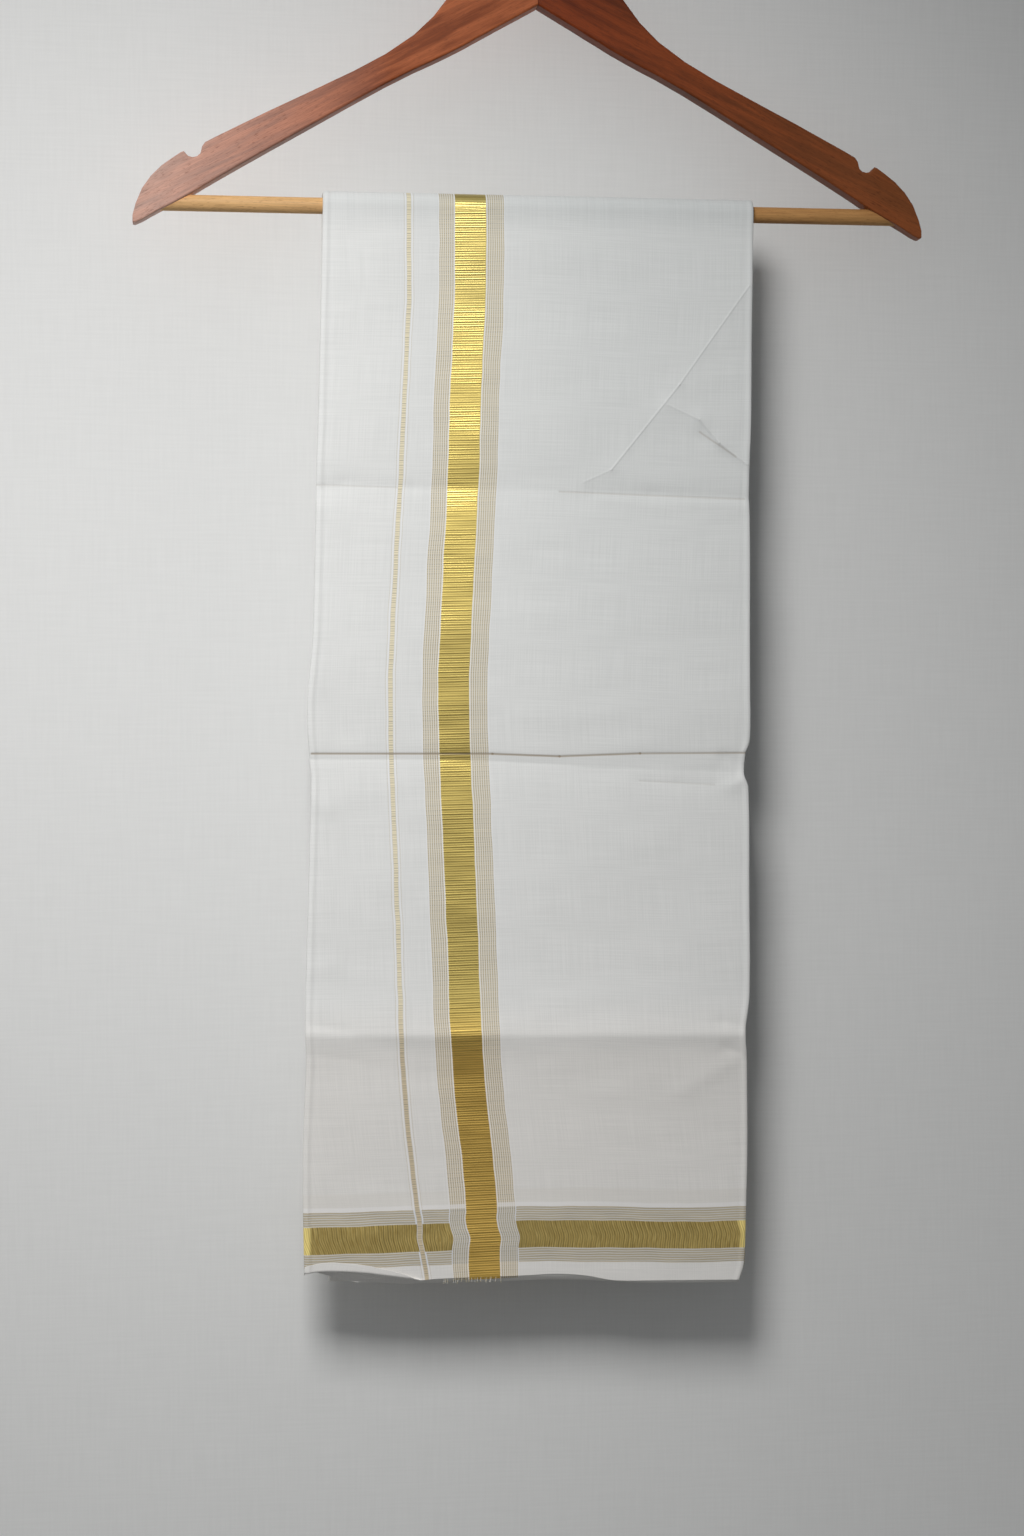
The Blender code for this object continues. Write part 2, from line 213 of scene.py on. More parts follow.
# %% Room around
tree = world.node_tree
room = tree.nodes["Background"]
direction = put(tree, "TexCoord", out=None).outputs["Generated"]
sideways, _, upward = xyz(tree, direction)
above = remap(tree, upward, -0.15, 0.03)
beside = remap(tree, calc(tree, "ABSOLUTE", sideways), 0.35, 0.75, 0.0, 0.9)
open_side = calc(tree, "MAXIMUM", above, beside)
mirrored = blend_colors(tree, open_side, (0.075, 0.057, 0.034, 1), (0.62, 0.635, 0.655, 1))
from_right = remap(tree, sideways, -0.8, 0.8)
soft_light = blend_colors(tree, from_right, (0.36, 0.365, 0.37, 1), (0.055, 0.056, 0.058, 1))
glossy = put(tree, "LightPath", out=None).outputs["Is Glossy Ray"]
feed(tree, room.inputs, Color=blend_colors(tree, glossy, soft_light, mirrored))
print("room nodes:", len(tree.nodes))

# %% Wall and floor
WALL_DISTANCE = 46.0             # behind the bar's centre
FLOOR_DROP = 1250.0


def plane(name, paint, place, turn=0.0):
    bpy.ops.object.select_all(action="DESELECT")
    bpy.ops.mesh.primitive_plane_add(size=6, location=from_bar(*place), rotation=(turn, 0, 0))
    item = bpy.context.object
    item.name = name
    item.data.materials.append(paint)
    return item


wall_paint, tree, shader = new_material("pale_wall", Roughness=0.9)
place_node = object_place(tree)
warp = grain(tree, place_node, (700.0, 30.0, 0.0), 2.0)
weft = grain(tree, place_node, (30.0, 700.0, 0.0), 2.0)
linen = remap(tree, calc(tree, "ADD", warp, weft), 0.7, 1.3)
linen = blend_colors(tree, linen, (0.745, 0.75, 0.745, 1), (0.775, 0.78, 0.775, 1))
feed(tree, shader.inputs, Base_Color=linen)
one_sided = put(tree, "MixShader", put(tree, "NewGeometry", out=None).outputs["Backfacing"],
                shader.outputs[0], put(tree, "BsdfTransparent"))
feed(tree, tree.nodes["Material Output"].inputs, Surface=one_sided)
floor_paint, _, _ = new_material("pale_floor", Roughness=0.85, Base_Color=(0.62, 0.62, 0.61, 1))
wall = plane("backdrop_wall", wall_paint, (0, WALL_DISTANCE, 3000 - FLOOR_DROP), math.radians(90))
floor = plane("pale_floor", floor_paint, (0, 0, -FLOOR_DROP))
print("wall", round(wall.location.y, 3), "m behind, floor", round(floor.location.z, 3))

# %% [markdown]
# ## How the cloth hangs
# The dhoti was folded in half four times, so it is a strip of sixteen plies, and it
# lay folded again in a packet before it was hung up. That left level creases about
# 160 mm apart. Each height of the strip has a row in a short table: how far its two
# sides lie out, and how far it stands towards the viewer. Creases are ridges or
# valleys added on top. The part's source has such tables too, so the fine cloth lies
# on its solids, apart from a few millimetres at the edges and hems.

# %% Cloth sizes and tables
HALF_WIDTH = 125.0
BAR_RADIUS = 4.5
STACK = 3.7                      # sixteen plies over the bar
INNERMOST_RADIUS = BAR_RADIUS + 0.3
FRONT_DROP, BACK_DROP = 617.0, 622.0
REAR_FOLD_REACH = (
    # drop, how far the rear folds stand out past the outer one at the right
    (0, 0.4), (60, -1), (560, -1), (596, 0.6), (606, 1.2), (613, 0.4),
    (622, -1.2),
)
FIRST_BULGE = 24.0
CREASE_SOFTNESS = 1.2
SLANT_SOFTNESS = 1.7

FRONT_EDGES = (
    # drop, left_out, right_out
    (0, -0.4, 1.2), (55, 0.8, 0.2), (121, 2.3, -0.6), (147, 3.3, -1.6),
    (166, 3.6, -1.7), (180, 3.8, -1.4), (250, 5.6, -1.4), (270, 7.4, -1.4),
    (284, 8.6, -1.3), (300, 8.6, -1.1), (309, 8, -1.6), (316, 7.4, -3.8),
    (323, 7.2, -4.6), (332, 6.4, -2.2), (400, 8.1, -1.4),
    (456, 9.6, -1.3), (477, 9.7, -3.9), (491, 9.1, -2.8), (540, 10.8, -1.8),
    (575, 10.8, -2.4), (600, 10.4, -3.4), (609, 10.2, -4.2), (617, 10, -6.8),
)
BACK_EDGES = (
    (0, -0.4, 1.2), (60, -0.6, 0), (160, -1.8, -1.8), (240, -2.4, -1.8),
    (315, -2.8, -3.4), (380, -3.2, -2.2), (475, -3.4, -3), (560, -4, -3.6),
    (622, -4.2, -7),
)
FRONT_STAND = (
    # drop, stand
    (0, 0), (60, 0.9), (120, 1.7), (160, 1.9), (200, 2.3), (250, 2.8),
    (285, 2.4), (305, 1.7), (335, 1.6), (400, 0.6), (445, -0.4), (500, -1.6),
    (540, -3), (575, -3.7), (600, -3.5), (622, -3.2),
)
BACK_STAND = (
    (0, 0), (70, 0.9), (150, 1), (230, 1.9), (300, 1.2), (340, 0.8),
    (400, 0), (450, -0.3), (500, -0.9), (560, -1.6), (622, -1.4),
)
FRONT_CREASES = (
    # left, middle, right, height, reach_above, reach_below
    (162.5, 163, 166, -0.8, 7, 7),
    (476.5, 477.5, 478.5, 3.3, 20, 14),
)
BACK_CREASES = (
    (152, 150, 149, 1.2, 12, 12),
    (311, 313, 312, -2, 8, 9),
    (470, 472, 475, 1.8, 15, 18),
)
FRONT_SLANTS = (
    # x_start, drop_start, x_end, drop_end, height, reach on either side
    (123.3, 43.3, 73.3, 113.1, 0.4, 6, 12),
    (73.3, 113.1, 42.3, 151.1, 0.35, 6, 10),
    (42.3, 151.1, 26.6, 158.2, 0.25, 5, 7),
    (75.1, 113.1, 93.9, 121.5, 0.5, 4, 4),
    (93.9, 121.5, 105.7, 134.7, 0.65, 3, 4.5),
    (105.7, 134.7, 123, 147.3, 0.6, 3, 4.5),
)
BACK_SLANTS = (
    (-118, 372, -52, 455, 0.9, 9, 12),
    (112, 60, 60, 132, 0.8, 9, 12),
)


# The middle crease is a tight pleat: the cloth turns in at its upper line, reaches its
# deepest at the lower one, and comes out again slowly.
PLEAT_UPPER = (
    # x, drop
    (-131, 315.6), (-125, 314.5), (-86, 314.8), (-27, 315.4), (-11, 317),
    (12, 316.7), (35, 315.6), (59, 315), (94, 314.1), (121, 314.8),
)
PLEAT_LOWER = (
    (-131, 318.5), (-69, 318.5), (-29, 319.3), (-11, 320.2), (12, 321.3),
    (35, 323.1), (59, 323.9), (82, 324.8), (100, 325.1), (121, 325.7),
)
PLEAT_DEPTH, PLEAT_UPPER_SHARE = 1.0, 0.55
PLEAT_ABOVE, PLEAT_BELOW = 3.6, 11.0
PLEAT_LEVELS = (300.0, 316.0, 321.0, 346.0)   # rows that follow the two lines


def read_table(rows, at, column):
    """A smooth curve through one column of a table whose first column rises."""
    if at <= rows[0][0]:
        return rows[0][column]
    if at >= rows[-1][0]:
        return rows[-1][column]
    k = next(i for i in range(len(rows) - 1) if at <= rows[i + 1][0])

    def slope(i):
        before, after = rows[max(i - 1, 0)], rows[min(i + 1, len(rows) - 1)]
        return (after[column] - before[column]) / (after[0] - before[0])

    span = rows[k + 1][0] - rows[k][0]
    t = (at - rows[k][0]) / span
    start, end = rows[k][column], rows[k + 1][column]
    return ((2 * t ** 3 - 3 * t ** 2 + 1) * start + (t ** 3 - 2 * t ** 2 + t) * span * slope(k)
            + (3 * t ** 2 - 2 * t ** 3) * end + (t ** 3 - t ** 2) * span * slope(k + 1))


def ease(t):
    t = min(max(t, 0.0), 1.0)
    return t * t * (3 - 2 * t)


def crest(distance, reach, softness=CREASE_SOFTNESS):
    away = math.sqrt(distance ** 2 + softness ** 2) - softness
    return math.exp(-away / reach)


print("strip", 2 * HALF_WIDTH, "mm wide,", round(STACK / 16, 3), "mm a ply")

# %% [markdown]
# The photograph shows smaller things that a rigid solid has no use for: short
# dimples beside the folds, faint lines where the packet was pressed, and a slow
# unevenness everywhere. They are soft dabs in a table, plus a little noise.

# %% Small creases and unevenness
FRONT_DABS = (
    # as FRONT_SLANTS
    (-124, 16.5, -60, 16, -0.25, 2.5, 2.5),
    (-126, 162.5, -112, 160, -0.4, 2.2, 3),
    (-112, 160, -70, 162.5, -0.3, 2.2, 2.5),
    (-128, 176, -114, 184, 0.45, 3.5, 4.5),
    (30, 163.8, 66, 164.8, -0.45, 2, 2),
    (66, 164.8, 123, 167.2, -0.55, 2, 2),
    (34, 168, 122, 171, 0.3, 2.4, 4),
    (0, 196.5, 18, 198.3, -0.2, 2, 2),
    (27, 199.4, 41, 199.4, -0.2, 2, 2),
    (98, 184, 121, 179, -0.3, 2.5, 2.5),
    (93.9, 128.5, 115.1, 142.7, -0.45, 2.2, 2.2),
    (-133, 342, -121, 348, 0.5, 3.5, 4),
    (-122, 286, -112, 304, -0.5, 7, 7),
    (-132, 470, -110, 474, -0.4, 2.5, 3),
    (-132, 440, -118, 436, 0.4, 4, 4),
    (-133, 488, -104, 491, -0.3, 2.5, 2.5),
    (84, 511, 119, 491, 0.7, 4, 6),
    (108, 317.5, 122, 322, -0.9, 2.6, 3),
    (112, 334, 122.5, 328.5, 0.9, 3, 3),
    (108, 470, 121, 474.5, -0.6, 3, 3),
    (110, 486, 121, 491, -0.8, 3, 3),
    (58.7, 330.9, 82.1, 332.6, -0.35, 2.5, 3),
    (82.1, 332.6, 102.7, 333.2, -0.35, 2.5, 3),
)
BACK_DABS = (
    (-120, 150, -70, 153, -0.4, 2.5, 3),
    (60, 313, 122, 309, -0.5, 2.5, 2.5),
    (-118, 318, -96, 322, 0.45, 3, 4),
    (88, 470, 122, 478, -0.5, 3, 4),
    (-110, 520, -60, 548, 0.5, 5, 8),
    (70, 250, 118, 226, 0.4, 5, 7),
)
UNEVEN_HEIGHT, UNEVEN_WIDTH, UNEVEN_LENGTH = 0.65, 90.0, 46.0
SMALL_HEIGHT, SMALL_WIDTH, SMALL_LENGTH = 0.22, 34.0, 11.5
FAR_OUT = 5                      # a ridge is left out past this many reaches
LONGEST_END = 8.0                # and it runs out over this length at most


def line_bumps(rows, x, drop):
    """The sum of the ridges in a table of lines between two places."""
    out = 0.0
    for x0, d0, x1, d1, height, reach_before, reach_after in rows:
        run_x, run_d = x1 - x0, d1 - d0
        length = math.hypot(run_x, run_d)
        along = ((x - x0) * run_x + (drop - d0) * run_d) / length
        aside = ((x - x0) * run_d - (drop - d0) * run_x) / length
        reach = reach_after if aside > 0 else reach_before
        if abs(aside) > FAR_OUT * reach:
            continue
        beyond = max(-along, along - length, 0.0)
        run_out = math.exp(-(beyond / min(reach, LONGEST_END)) ** 2)
        out += height * crest(aside, reach, SLANT_SOFTNESS) * run_out
    return out


def pleat(x, drop):
    """The middle crease of the front."""
    upper, lower = read_table(PLEAT_UPPER, x, 1), read_table(PLEAT_LOWER, x, 1)
    if drop < upper:
        return -PLEAT_UPPER_SHARE * PLEAT_DEPTH * math.exp(-(upper - drop) / PLEAT_ABOVE)
    if drop < lower:
        deeper = (1 - PLEAT_UPPER_SHARE) * (drop - upper) / (lower - upper)
        return -PLEAT_DEPTH * (PLEAT_UPPER_SHARE + deeper)
    return -PLEAT_DEPTH * math.exp(-(drop - lower) / PLEAT_BELOW)


def relief(side, x, drop):
    """How far the cloth stands out of its plane at one place of a fall."""
    if side == "front":
        stand, creases, lines = FRONT_STAND, FRONT_CREASES, FRONT_SLANTS + FRONT_DABS
    else:
        stand, creases, lines = BACK_STAND, BACK_CREASES, BACK_SLANTS + BACK_DABS
    out = read_table(stand, drop, 1) + line_bumps(lines, x, drop)
    across = (x + HALF_WIDTH) / (2 * HALF_WIDTH)
    for left, middle, right, height, above, below in creases:
        line = (left * (1 - across) * (1 - 2 * across) + middle * 4 * across * (1 - across)
                + right * across * (2 * across - 1))
        out += height * crest(drop - line, above if drop < line else below)
    if side == "front":
        out += pleat(x, drop)
    seed = 3.0 if side == "front" else 11.0
    out += UNEVEN_HEIGHT * noise.noise((x / UNEVEN_WIDTH, drop / UNEVEN_LENGTH, seed))
    out += SMALL_HEIGHT * noise.noise((x / SMALL_WIDTH, drop / SMALL_LENGTH, seed))
    return out * ease(drop / FIRST_BULGE)


def row_edges(row):
    """Where the two sides of the outer ply lie at one level of its route."""
    side, drop = row if row[0] != "crown" else ("front", 0)
    rows = FRONT_EDGES if side == "front" else BACK_EDGES
    return -HALF_WIDTH - read_table(rows, drop, 1), HALF_WIDTH + read_table(rows, drop, 2)


print("stand at the middle valley", round(relief("front", 0, 316.5), 2), "mm")

# %% [markdown]
# ## One route for every ply
# Each ply climbs the front, goes round the bar and falls behind it. A row of the
# mesh is one level of that route. Rows are close together at creases and far apart
# elsewhere, so the triangles go where the cloth bends.

# %% Rows along the strip
CREASE_PLACES = {"front": (163, 318, 478), "back": (150, 312, 472)}


def drops(side, end, coarse, fine, hem, reach=13.0):
    """Levels of one fall from the bar down, closer together at its creases and hem."""
    levels, drop = [], 1.5
    while drop < end:
        levels.append(drop)
        near = min(abs(drop - place) for place in CREASE_PLACES[side])
        close = near < reach or end - drop < 3 * reach or drop < reach
        drop += hem if end - drop < 9 else fine if close else coarse
    if side == "front":
        for line in PLEAT_LEVELS[1:3]:
            levels = [v for v in levels if abs(v - line) > 1.0] + [line - 0.6, line, line + 0.6]
    return sorted(levels) + [end]


def strip_rows(coarse, fine, hem, turns):
    """('front' | 'crown' | 'back', level) from the front hem to the back hem."""
    rows = [("front", d) for d in reversed(drops("front", FRONT_DROP, coarse, fine, hem))]
    rows += [("crown", math.pi * i / turns) for i in range(turns + 1)]
    rows += [("back", d) for d in drops("back", BACK_DROP, 1.7 * coarse, 1.8 * fine, fine)]
    return rows


OUTER_ROWS = strip_rows(3.5, 1.6, 0.65, 14)
INNER_ROWS = strip_rows(12.0, 2.8, 2.8, 8)
print(len(OUTER_ROWS), "rows in the outer ply,", len(INNER_ROWS), "in the inner ones")

# %% [markdown]
# ## Where the plies end
# At the bar the outer ply goes the longer way round, so each deeper ply hangs a
# little lower. On the front the selvage of the outer ply is also turned up at the
# left corner, less and less towards the middle.

# %% Hems
FRONT_END = (
    # x, outer ply, next plies, rear plies
    (-136, 618.4, 610.2, 610.6), (-126, 617.8, 611.2, 613.6), (-119, 618, 612.6, 616.6),
    (-111, 618.1, 614.2, 618.9), (-103, 618.5, 615.2, 619.4), (-92, 619.1, 616.2, 620),
    (-79, 619.5, 617.4, 620.5), (-66, 618.3, 618.4, 620.8), (-50, 617.6, 618.6, 620.3),
    (-10, 616.9, 618.2, 619.8), (12, 616.3, 617.8, 619.5), (28, 617.6, 618.6, 620.2),
    (44, 620.6, 621.2, 622), (66, 621.2, 622, 622.8), (90, 621.4, 622.2, 623),
    (118, 621.6, 622.4, 623.2),
)
HEM_FOLD = (
    # x, drop at which the outer ply's hem turns up
    (-136, 613.6), (-126, 612.3), (-112, 612.5), (-100, 613.5), (-92, 614.6),
    (-80, 616.3), (-66, 618.6), (-50, 622),
)
HEM_FOLD_RADIUS = 0.6
PLIES = 16
PLY_WAVE, WAVE_LENGTH = 0.45, 17.0   # each ply's own unevenness at the hem
BACK_LIFT = 5.2                  # the back hem over the solid's own
BACK_FAN = (0.9, 1.4)            # how far the next ply hangs below it, and the rest
HEM_REACH = 55.0                 # above a hem, where levels stretch to meet it


def ply_end(side, ply, x):
    """The drop at which one ply ends; ply 1 is the outer one and 16 the one at the bar."""
    wave = PLY_WAVE * math.sin(x / (WAVE_LENGTH + 3 * (ply % 5)) + 2.1 * ply)
    if side == "back":
        fan = BACK_FAN[0] + BACK_FAN[1] * (ply - 2) / (PLIES - 2) + wave
        return BACK_DROP - BACK_LIFT + (ply > 1) * fan
    if ply == 1:
        return read_table(FRONT_END, x, 1)
    depth = (ply - 2) / (PLIES - 2)
    return (1 - depth) * read_table(FRONT_END, x, 2) + depth * read_table(FRONT_END, x, 3) + wave


def follow_pleat(x, drop):
    """Moves the levels round the middle crease so that rows run along its two lines."""
    start, upper, lower, end = PLEAT_LEVELS
    if not start < drop < end:
        return drop
    at_upper, at_lower = read_table(PLEAT_UPPER, x, 1), read_table(PLEAT_LOWER, x, 1)
    if drop < upper:
        return start + (drop - start) * (at_upper - start) / (upper - start)
    if drop < lower:
        return at_upper + (drop - upper) * (at_lower - at_upper) / (lower - upper)
    return at_lower + (drop - lower) * (end - at_lower) / (end - lower)


def stretched(side, ply, x, drop, depth):
    """Moves the last levels of a fall so that the bottom one is this ply's hem."""
    end = FRONT_DROP if side == "front" else BACK_DROP
    hem = ply_end(side, ply, x)
    if side == "front":
        drop = follow_pleat(x, drop)
        if ply in (1, PLIES):
            hem = ply_end(side, PLIES, x)
            hem += (ply_end(side, 1, x) - hem) * ease(depth / (STACK - 0.3))
    return drop + (hem - end) * ease((drop - end + HEM_REACH) / HEM_REACH)


def place(row, ply, x, depth):
    """A point of one ply in metres: x across, depth out from the bar side."""
    side, level = row
    if side == "crown":
        radius = INNERMOST_RADIUS + depth
        return from_bar(x, -radius * math.cos(level), radius * math.sin(level))
    drop = stretched(side, ply, x, level, depth)
    facing = -1 if side == "front" else 1
    out, down = relief(side, x, drop), drop
    if side == "front" and ply == 1:
        turned = ease((depth - 0.45 * STACK) / (0.3 * STACK))
        past = drop - read_table(HEM_FOLD, x, 1) + HEM_FOLD_RADIUS
        if past > 0 and turned > 0:
            round_it = min(past / HEM_FOLD_RADIUS, math.pi)
            up = max(past - math.pi * HEM_FOLD_RADIUS, 0.0)
            out += turned * HEM_FOLD_RADIUS * (1 - math.cos(round_it))
            down += turned * (HEM_FOLD_RADIUS * math.sin(round_it) - past - up)
    return from_bar(x, facing * (INNERMOST_RADIUS + depth + out), -down)


print("front hems", [round(ply_end("front", k, 0), 1) for k in (1, 2, 9, 16)])

# %% [markdown]
# ## The woven borders
# The cloth's own measures go into a UV map, in millimetres scaled to metres: u runs
# along the warp from the middle of the cross border, and v is the distance from the
# nearer selvage. The cross border doesn't hang quite straight, so two tables say
# where its middle lies and how far off the thin double line is.

# %% Where the borders lie
FRONT_BORDER = (
    # drop, middle
    (0, -39.5), (55, -39.85), (99.5, -42.2), (123, -42.85), (152, -43.55),
    (204, -46.4), (278, -49.45), (319, -48.45), (365, -46.6), (434, -43.65),
    (477, -42.1), (514, -39.25), (549, -35.15), (576, -32.9), (595, -31.9),
    (617, -31),
)
PUCKER = (
    # drop, how far the weft lines are pushed aside where the two borders cross
    (579, 0), (583, -0.7), (588.8, 0), (594.5, 1.5), (600, 0.6), (606, 0.2),
    (612, 0),
)
BACK_BORDER = (
    (0, -39.5), (160, -38.2), (312, -36.6), (472, -37.4), (622, -35),
)
LINE_OFFSET = 36.6
LINE_PLACES = (
    # drop, distance of the thin line from the border's middle
    (0, 35.6), (100, 35.3), (160, 36.2), (310, 36.6), (430, 37.1),
    (514, 37.9), (549, 38.1), (576, 37.4), (617, 33.6),
)
LEVEL_BORDER = (
    # x, drop of the level gold band's middle
    (-132, 595), (-72, 594.2), (-51, 593.8), (-11, 592.8), (40, 593.8),
    (88, 595.2), (118, 594.9),
)
BAND_MIDDLE = 22.7               # from the selvage to the middle of the level band
CROWN_STEP = 8.0                 # over the bar the selvages are only a little further off
PUCKER_TURN = (1.6, 22.0, 6.0)   # left of this place the pucker turns the other way


def weave_place(row, ply, x, depth, warp):
    """(u, v) in millimetres; warp is x with the cloth laid flat from the outer ply."""
    side, level = row
    middle, offset = FRONT_BORDER[0][1], LINE_PLACES[0][1]
    if side == "crown":
        v = FRONT_DROP + CROWN_STEP * (1 - abs(level - math.pi / 2))
    else:
        drop = stretched(side, ply, x, level, depth)
        v = ply_end(side, ply, x) - drop
        if side == "front":
            middle = read_table(FRONT_BORDER, drop, 1)
            offset = read_table(LINE_PLACES, drop, 1)
            if ply == 1:
                v = read_table(LEVEL_BORDER, x, 1) + BAND_MIDDLE - drop
        else:
            middle = read_table(BACK_BORDER, drop, 1)
    u = warp - middle
    if side == "front" and ply == 1:
        much, start, width = PUCKER_TURN
        u -= read_table(PUCKER, drop, 1) * (1 - much * ease((-u - start) / width))
    return u * (1 + (LINE_OFFSET / offset - 1) * ease((-u - 15) / 15)), max(v, 0.0)


print("border middle", read_table(FRONT_BORDER, 300, 1), "mm at 300 mm down")

# %% [markdown]
# ## The sixteen plies as one cloth
# Looking along the strip from its hem, the cloth is a zigzag. The last fold is at
# the left, so ply k joins ply 17 - k there. At the right the earlier folds join the
# plies in nested pairs. Following the joins from the free end of ply 15 passes
# through every ply once, so this is one continuous cloth, as the real one is.
# The outer ply with its two turns is a fine mesh of its own, and the plies inside
# are a coarser one.

# %% Folds between plies
INNER_PATH = (15, 2, 7, 10, 11, 6, 3, 14, 13, 4, 5, 12, 9, 8)
OUTER_FACE = 0.1                 # the outer ply's depth below the stack's face
INNER_FACE = 0.85                # that of the next ply, and the last one's from the bar
BAR_FACE = 0.12
FOLD_NEST = 0.24                 # each nested fold sits this much further in


def ply_depth(ply):
    """Distance of a ply from the bar's side of the stack."""
    if ply == 1:
        return STACK - OUTER_FACE
    deep = (ply - 2) / (PLIES - 2)
    return (STACK - INNER_FACE) * (1 - deep) + BAR_FACE * deep


def left_end(row, ply):
    """x where a ply starts to turn at the left; deeper folds sit further in."""
    return row_edges(row)[0] + STACK / 2 + FOLD_NEST * (min(ply, 17 - ply) - 1)


def right_end(row, ply):
    """x where a ply turns or ends at the right; the rear folds stand further out."""
    side, level = row
    right = row_edges(row)[1]
    if ply <= 8:
        return right - STACK / 4 - FOLD_NEST * (min(ply, 9 - ply) - 1)
    reach = read_table(REAR_FOLD_REACH, level if side != "crown" else 0.0, 1)
    loose = 0.3 * math.sin(level / 31.0 + ply) if side != "crown" else 0.0
    return right + reach - 0.9 - 0.3 * (ply in (10, 11)) - 0.5 * (ply > 12) + loose


def fold(row, ply, other, x, steps):
    """The turn from one ply to another past x: (x, depth, ply, length so far)."""
    out = 1 if x > 0 else -1
    start, end = ply_depth(ply), ply_depth(other)
    middle, radius = (start + end) / 2, abs(start - end) / 2
    first = math.copysign(math.pi / 2, start - end)
    points = []
    for i in range(1, steps):
        turn = first - math.copysign(math.pi * i / steps, first)
        near = ply if i < steps / 2 else other
        points.append((x + out * radius * math.cos(turn), middle + radius * math.sin(turn),
                       near, radius * math.pi * i / steps))
    return points


print("joined plies at the left:", [(k, 17 - k) for k in range(1, 9)])

# %% [markdown]
# The outer sheet starts a finger's width inside the right fold, turns round it,
# crosses the front, turns round the left side and runs back along the bar's side of
# the stack to the cloth's free end.

# %% Outer sheet
SIDE_STEPS = (0.6, 1.3, 2.1, 3.0, 4.0, 5.2, 6.8, 9.0, 11.6)
FRONT_SPACING = 2.8
HIDDEN_LIP = 10.0
REAR_COLUMNS = 9


def front_columns(start, end):
    """Places across the front from right to left, close together at both sides."""
    inner_start, inner_end = start - SIDE_STEPS[-1], end + SIDE_STEPS[-1]
    count = round((2 * HALF_WIDTH - 24) / FRONT_SPACING)
    middle = [inner_start + (inner_end - inner_start) * i / count for i in range(1, count)]
    return [start - s for s in SIDE_STEPS] + middle + [end + s for s in reversed(SIDE_STEPS)]


def fold_swell(x, left, right):
    """The side folds are a little fat, with a faint groove inside them."""
    from_left, from_right = x - left, right - x
    swell = 0.35 * crest(from_left - 0.8, 1.2) - 0.30 * crest(from_left - 2.9, 0.9)
    return swell + 0.22 * crest(from_right - 0.6, 1.4) - 0.16 * crest(from_right - 3.0, 0.9)


def outer_section(row):
    """One level of the outer sheet: (x, depth, ply, x with the cloth laid flat)."""
    left, right = left_end(row, 1), right_end(row, 1)
    front, lip, rear = ply_depth(1), ply_depth(8), ply_depth(16)
    turn = math.pi * (front - lip) / 2
    points = [(right - s, lip, 8, right + turn + s) for s in (HIDDEN_LIP, HIDDEN_LIP / 2, 0.0)]
    points += [(x, depth, ply, right + turn - along)
               for x, depth, ply, along in fold(row, 8, 1, right, 8)]
    points.append((right, front, 1, right))
    points += [(x, front + fold_swell(x, left, right), 1, x) for x in front_columns(right, left)]
    points.append((left, front, 1, left))
    points += [(x, depth, ply, left - along) for x, depth, ply, along in fold(row, 1, 16, left, 11)]
    turn = math.pi * (front - rear) / 2
    for i in range(REAR_COLUMNS + 1):
        x = left + (right_end(row, 16) - left) * i / REAR_COLUMNS
        points.append((x, rear, 16, 2 * left - turn - x))
    return points


def sheet_mesh(name, rows, section, uv_name="cloth_metres"):
    """A grid of quads from sections, with the weave's own measures as its UV map."""
    grid, weave = [], []
    for row in rows:
        points = section(row)
        grid.append([place(row, ply, x, depth) for x, depth, ply, _ in points])
        weave.append([weave_place(row, ply, x, depth, warp) for x, depth, ply, warp in points])
    across = len(grid[0])
    verts = [point for line in grid for point in line]
    faces = [(r * across + c, (r + 1) * across + c, (r + 1) * across + c + 1, r * across + c + 1)
             for r in range(len(grid) - 1) for c in range(across - 1)]
    mesh = bpy.data.meshes.new(name)
    mesh.from_pydata(verts, [], faces)
    flat = [(u * MM, v * MM) for line in weave for u, v in line]
    layer = mesh.uv_layers.new(name=uv_name)
    layer.uv.foreach_set("vector", [n for c in mesh.loops for n in flat[c.vertex_index]])
    mesh.shade_smooth()
    return new_object(name, mesh)


outer = sheet_mesh("dhoti_outer_ply", OUTER_ROWS, outer_section)
print(outer.name, len(outer.data.polygons), "quads")

# %% [markdown]
# The inner sheet starts at its free end, on ply 15 at the right, and ends where the
# hidden lip of the outer sheet takes over on ply 8. Its columns are close together
# near the folds, where the cloth curves most.

# %% Inner sheet
NO_BORDER = 1000.0               # so far along the warp that no border comes there
INNER_STEPS = (0.0, 4.0, 9.0, 18.0, 34.0, 58.0, 90.0, 125.0)
SECOND_END = 2                   # the ply that carries the border of the other end


def inner_section(row):
    """One level of the fourteen inner plies, as in outer_section."""
    points = []
    leftward = True
    for i, ply in enumerate(INNER_PATH):
        left, right = left_end(row, ply), right_end(row, ply)
        if ply == 8:
            right = right_end(row, 1) - HIDDEN_LIP
        depth = ply_depth(ply)
        half = (right - left) / 2
        share = [s * half / INNER_STEPS[-1] for s in INNER_STEPS]
        places = [right - s for s in share] + [left + s for s in reversed(share[:-1])]
        if not leftward:
            places.reverse()
        flat = 0.0 if ply == SECOND_END else NO_BORDER
        points += [(x, depth, ply, x + flat) for x in places]
        if i + 1 < len(INNER_PATH):
            other = INNER_PATH[i + 1]
            side = left if leftward else right
            points += [(x, d, near, x + NO_BORDER)
                       for x, d, near, _ in fold(row, ply, other, side, 4)]
        leftward = not leftward
    return points


inner = sheet_mesh("dhoti_inner_plies", INNER_ROWS, inner_section)
print(inner.name, len(inner.data.polygons), "quads")

# %% [markdown]
# A cotton ply is a quarter of a millimetre thick. The sheets are made as surfaces,
# so a Solidify modifier gives them their thickness and their cut edges.

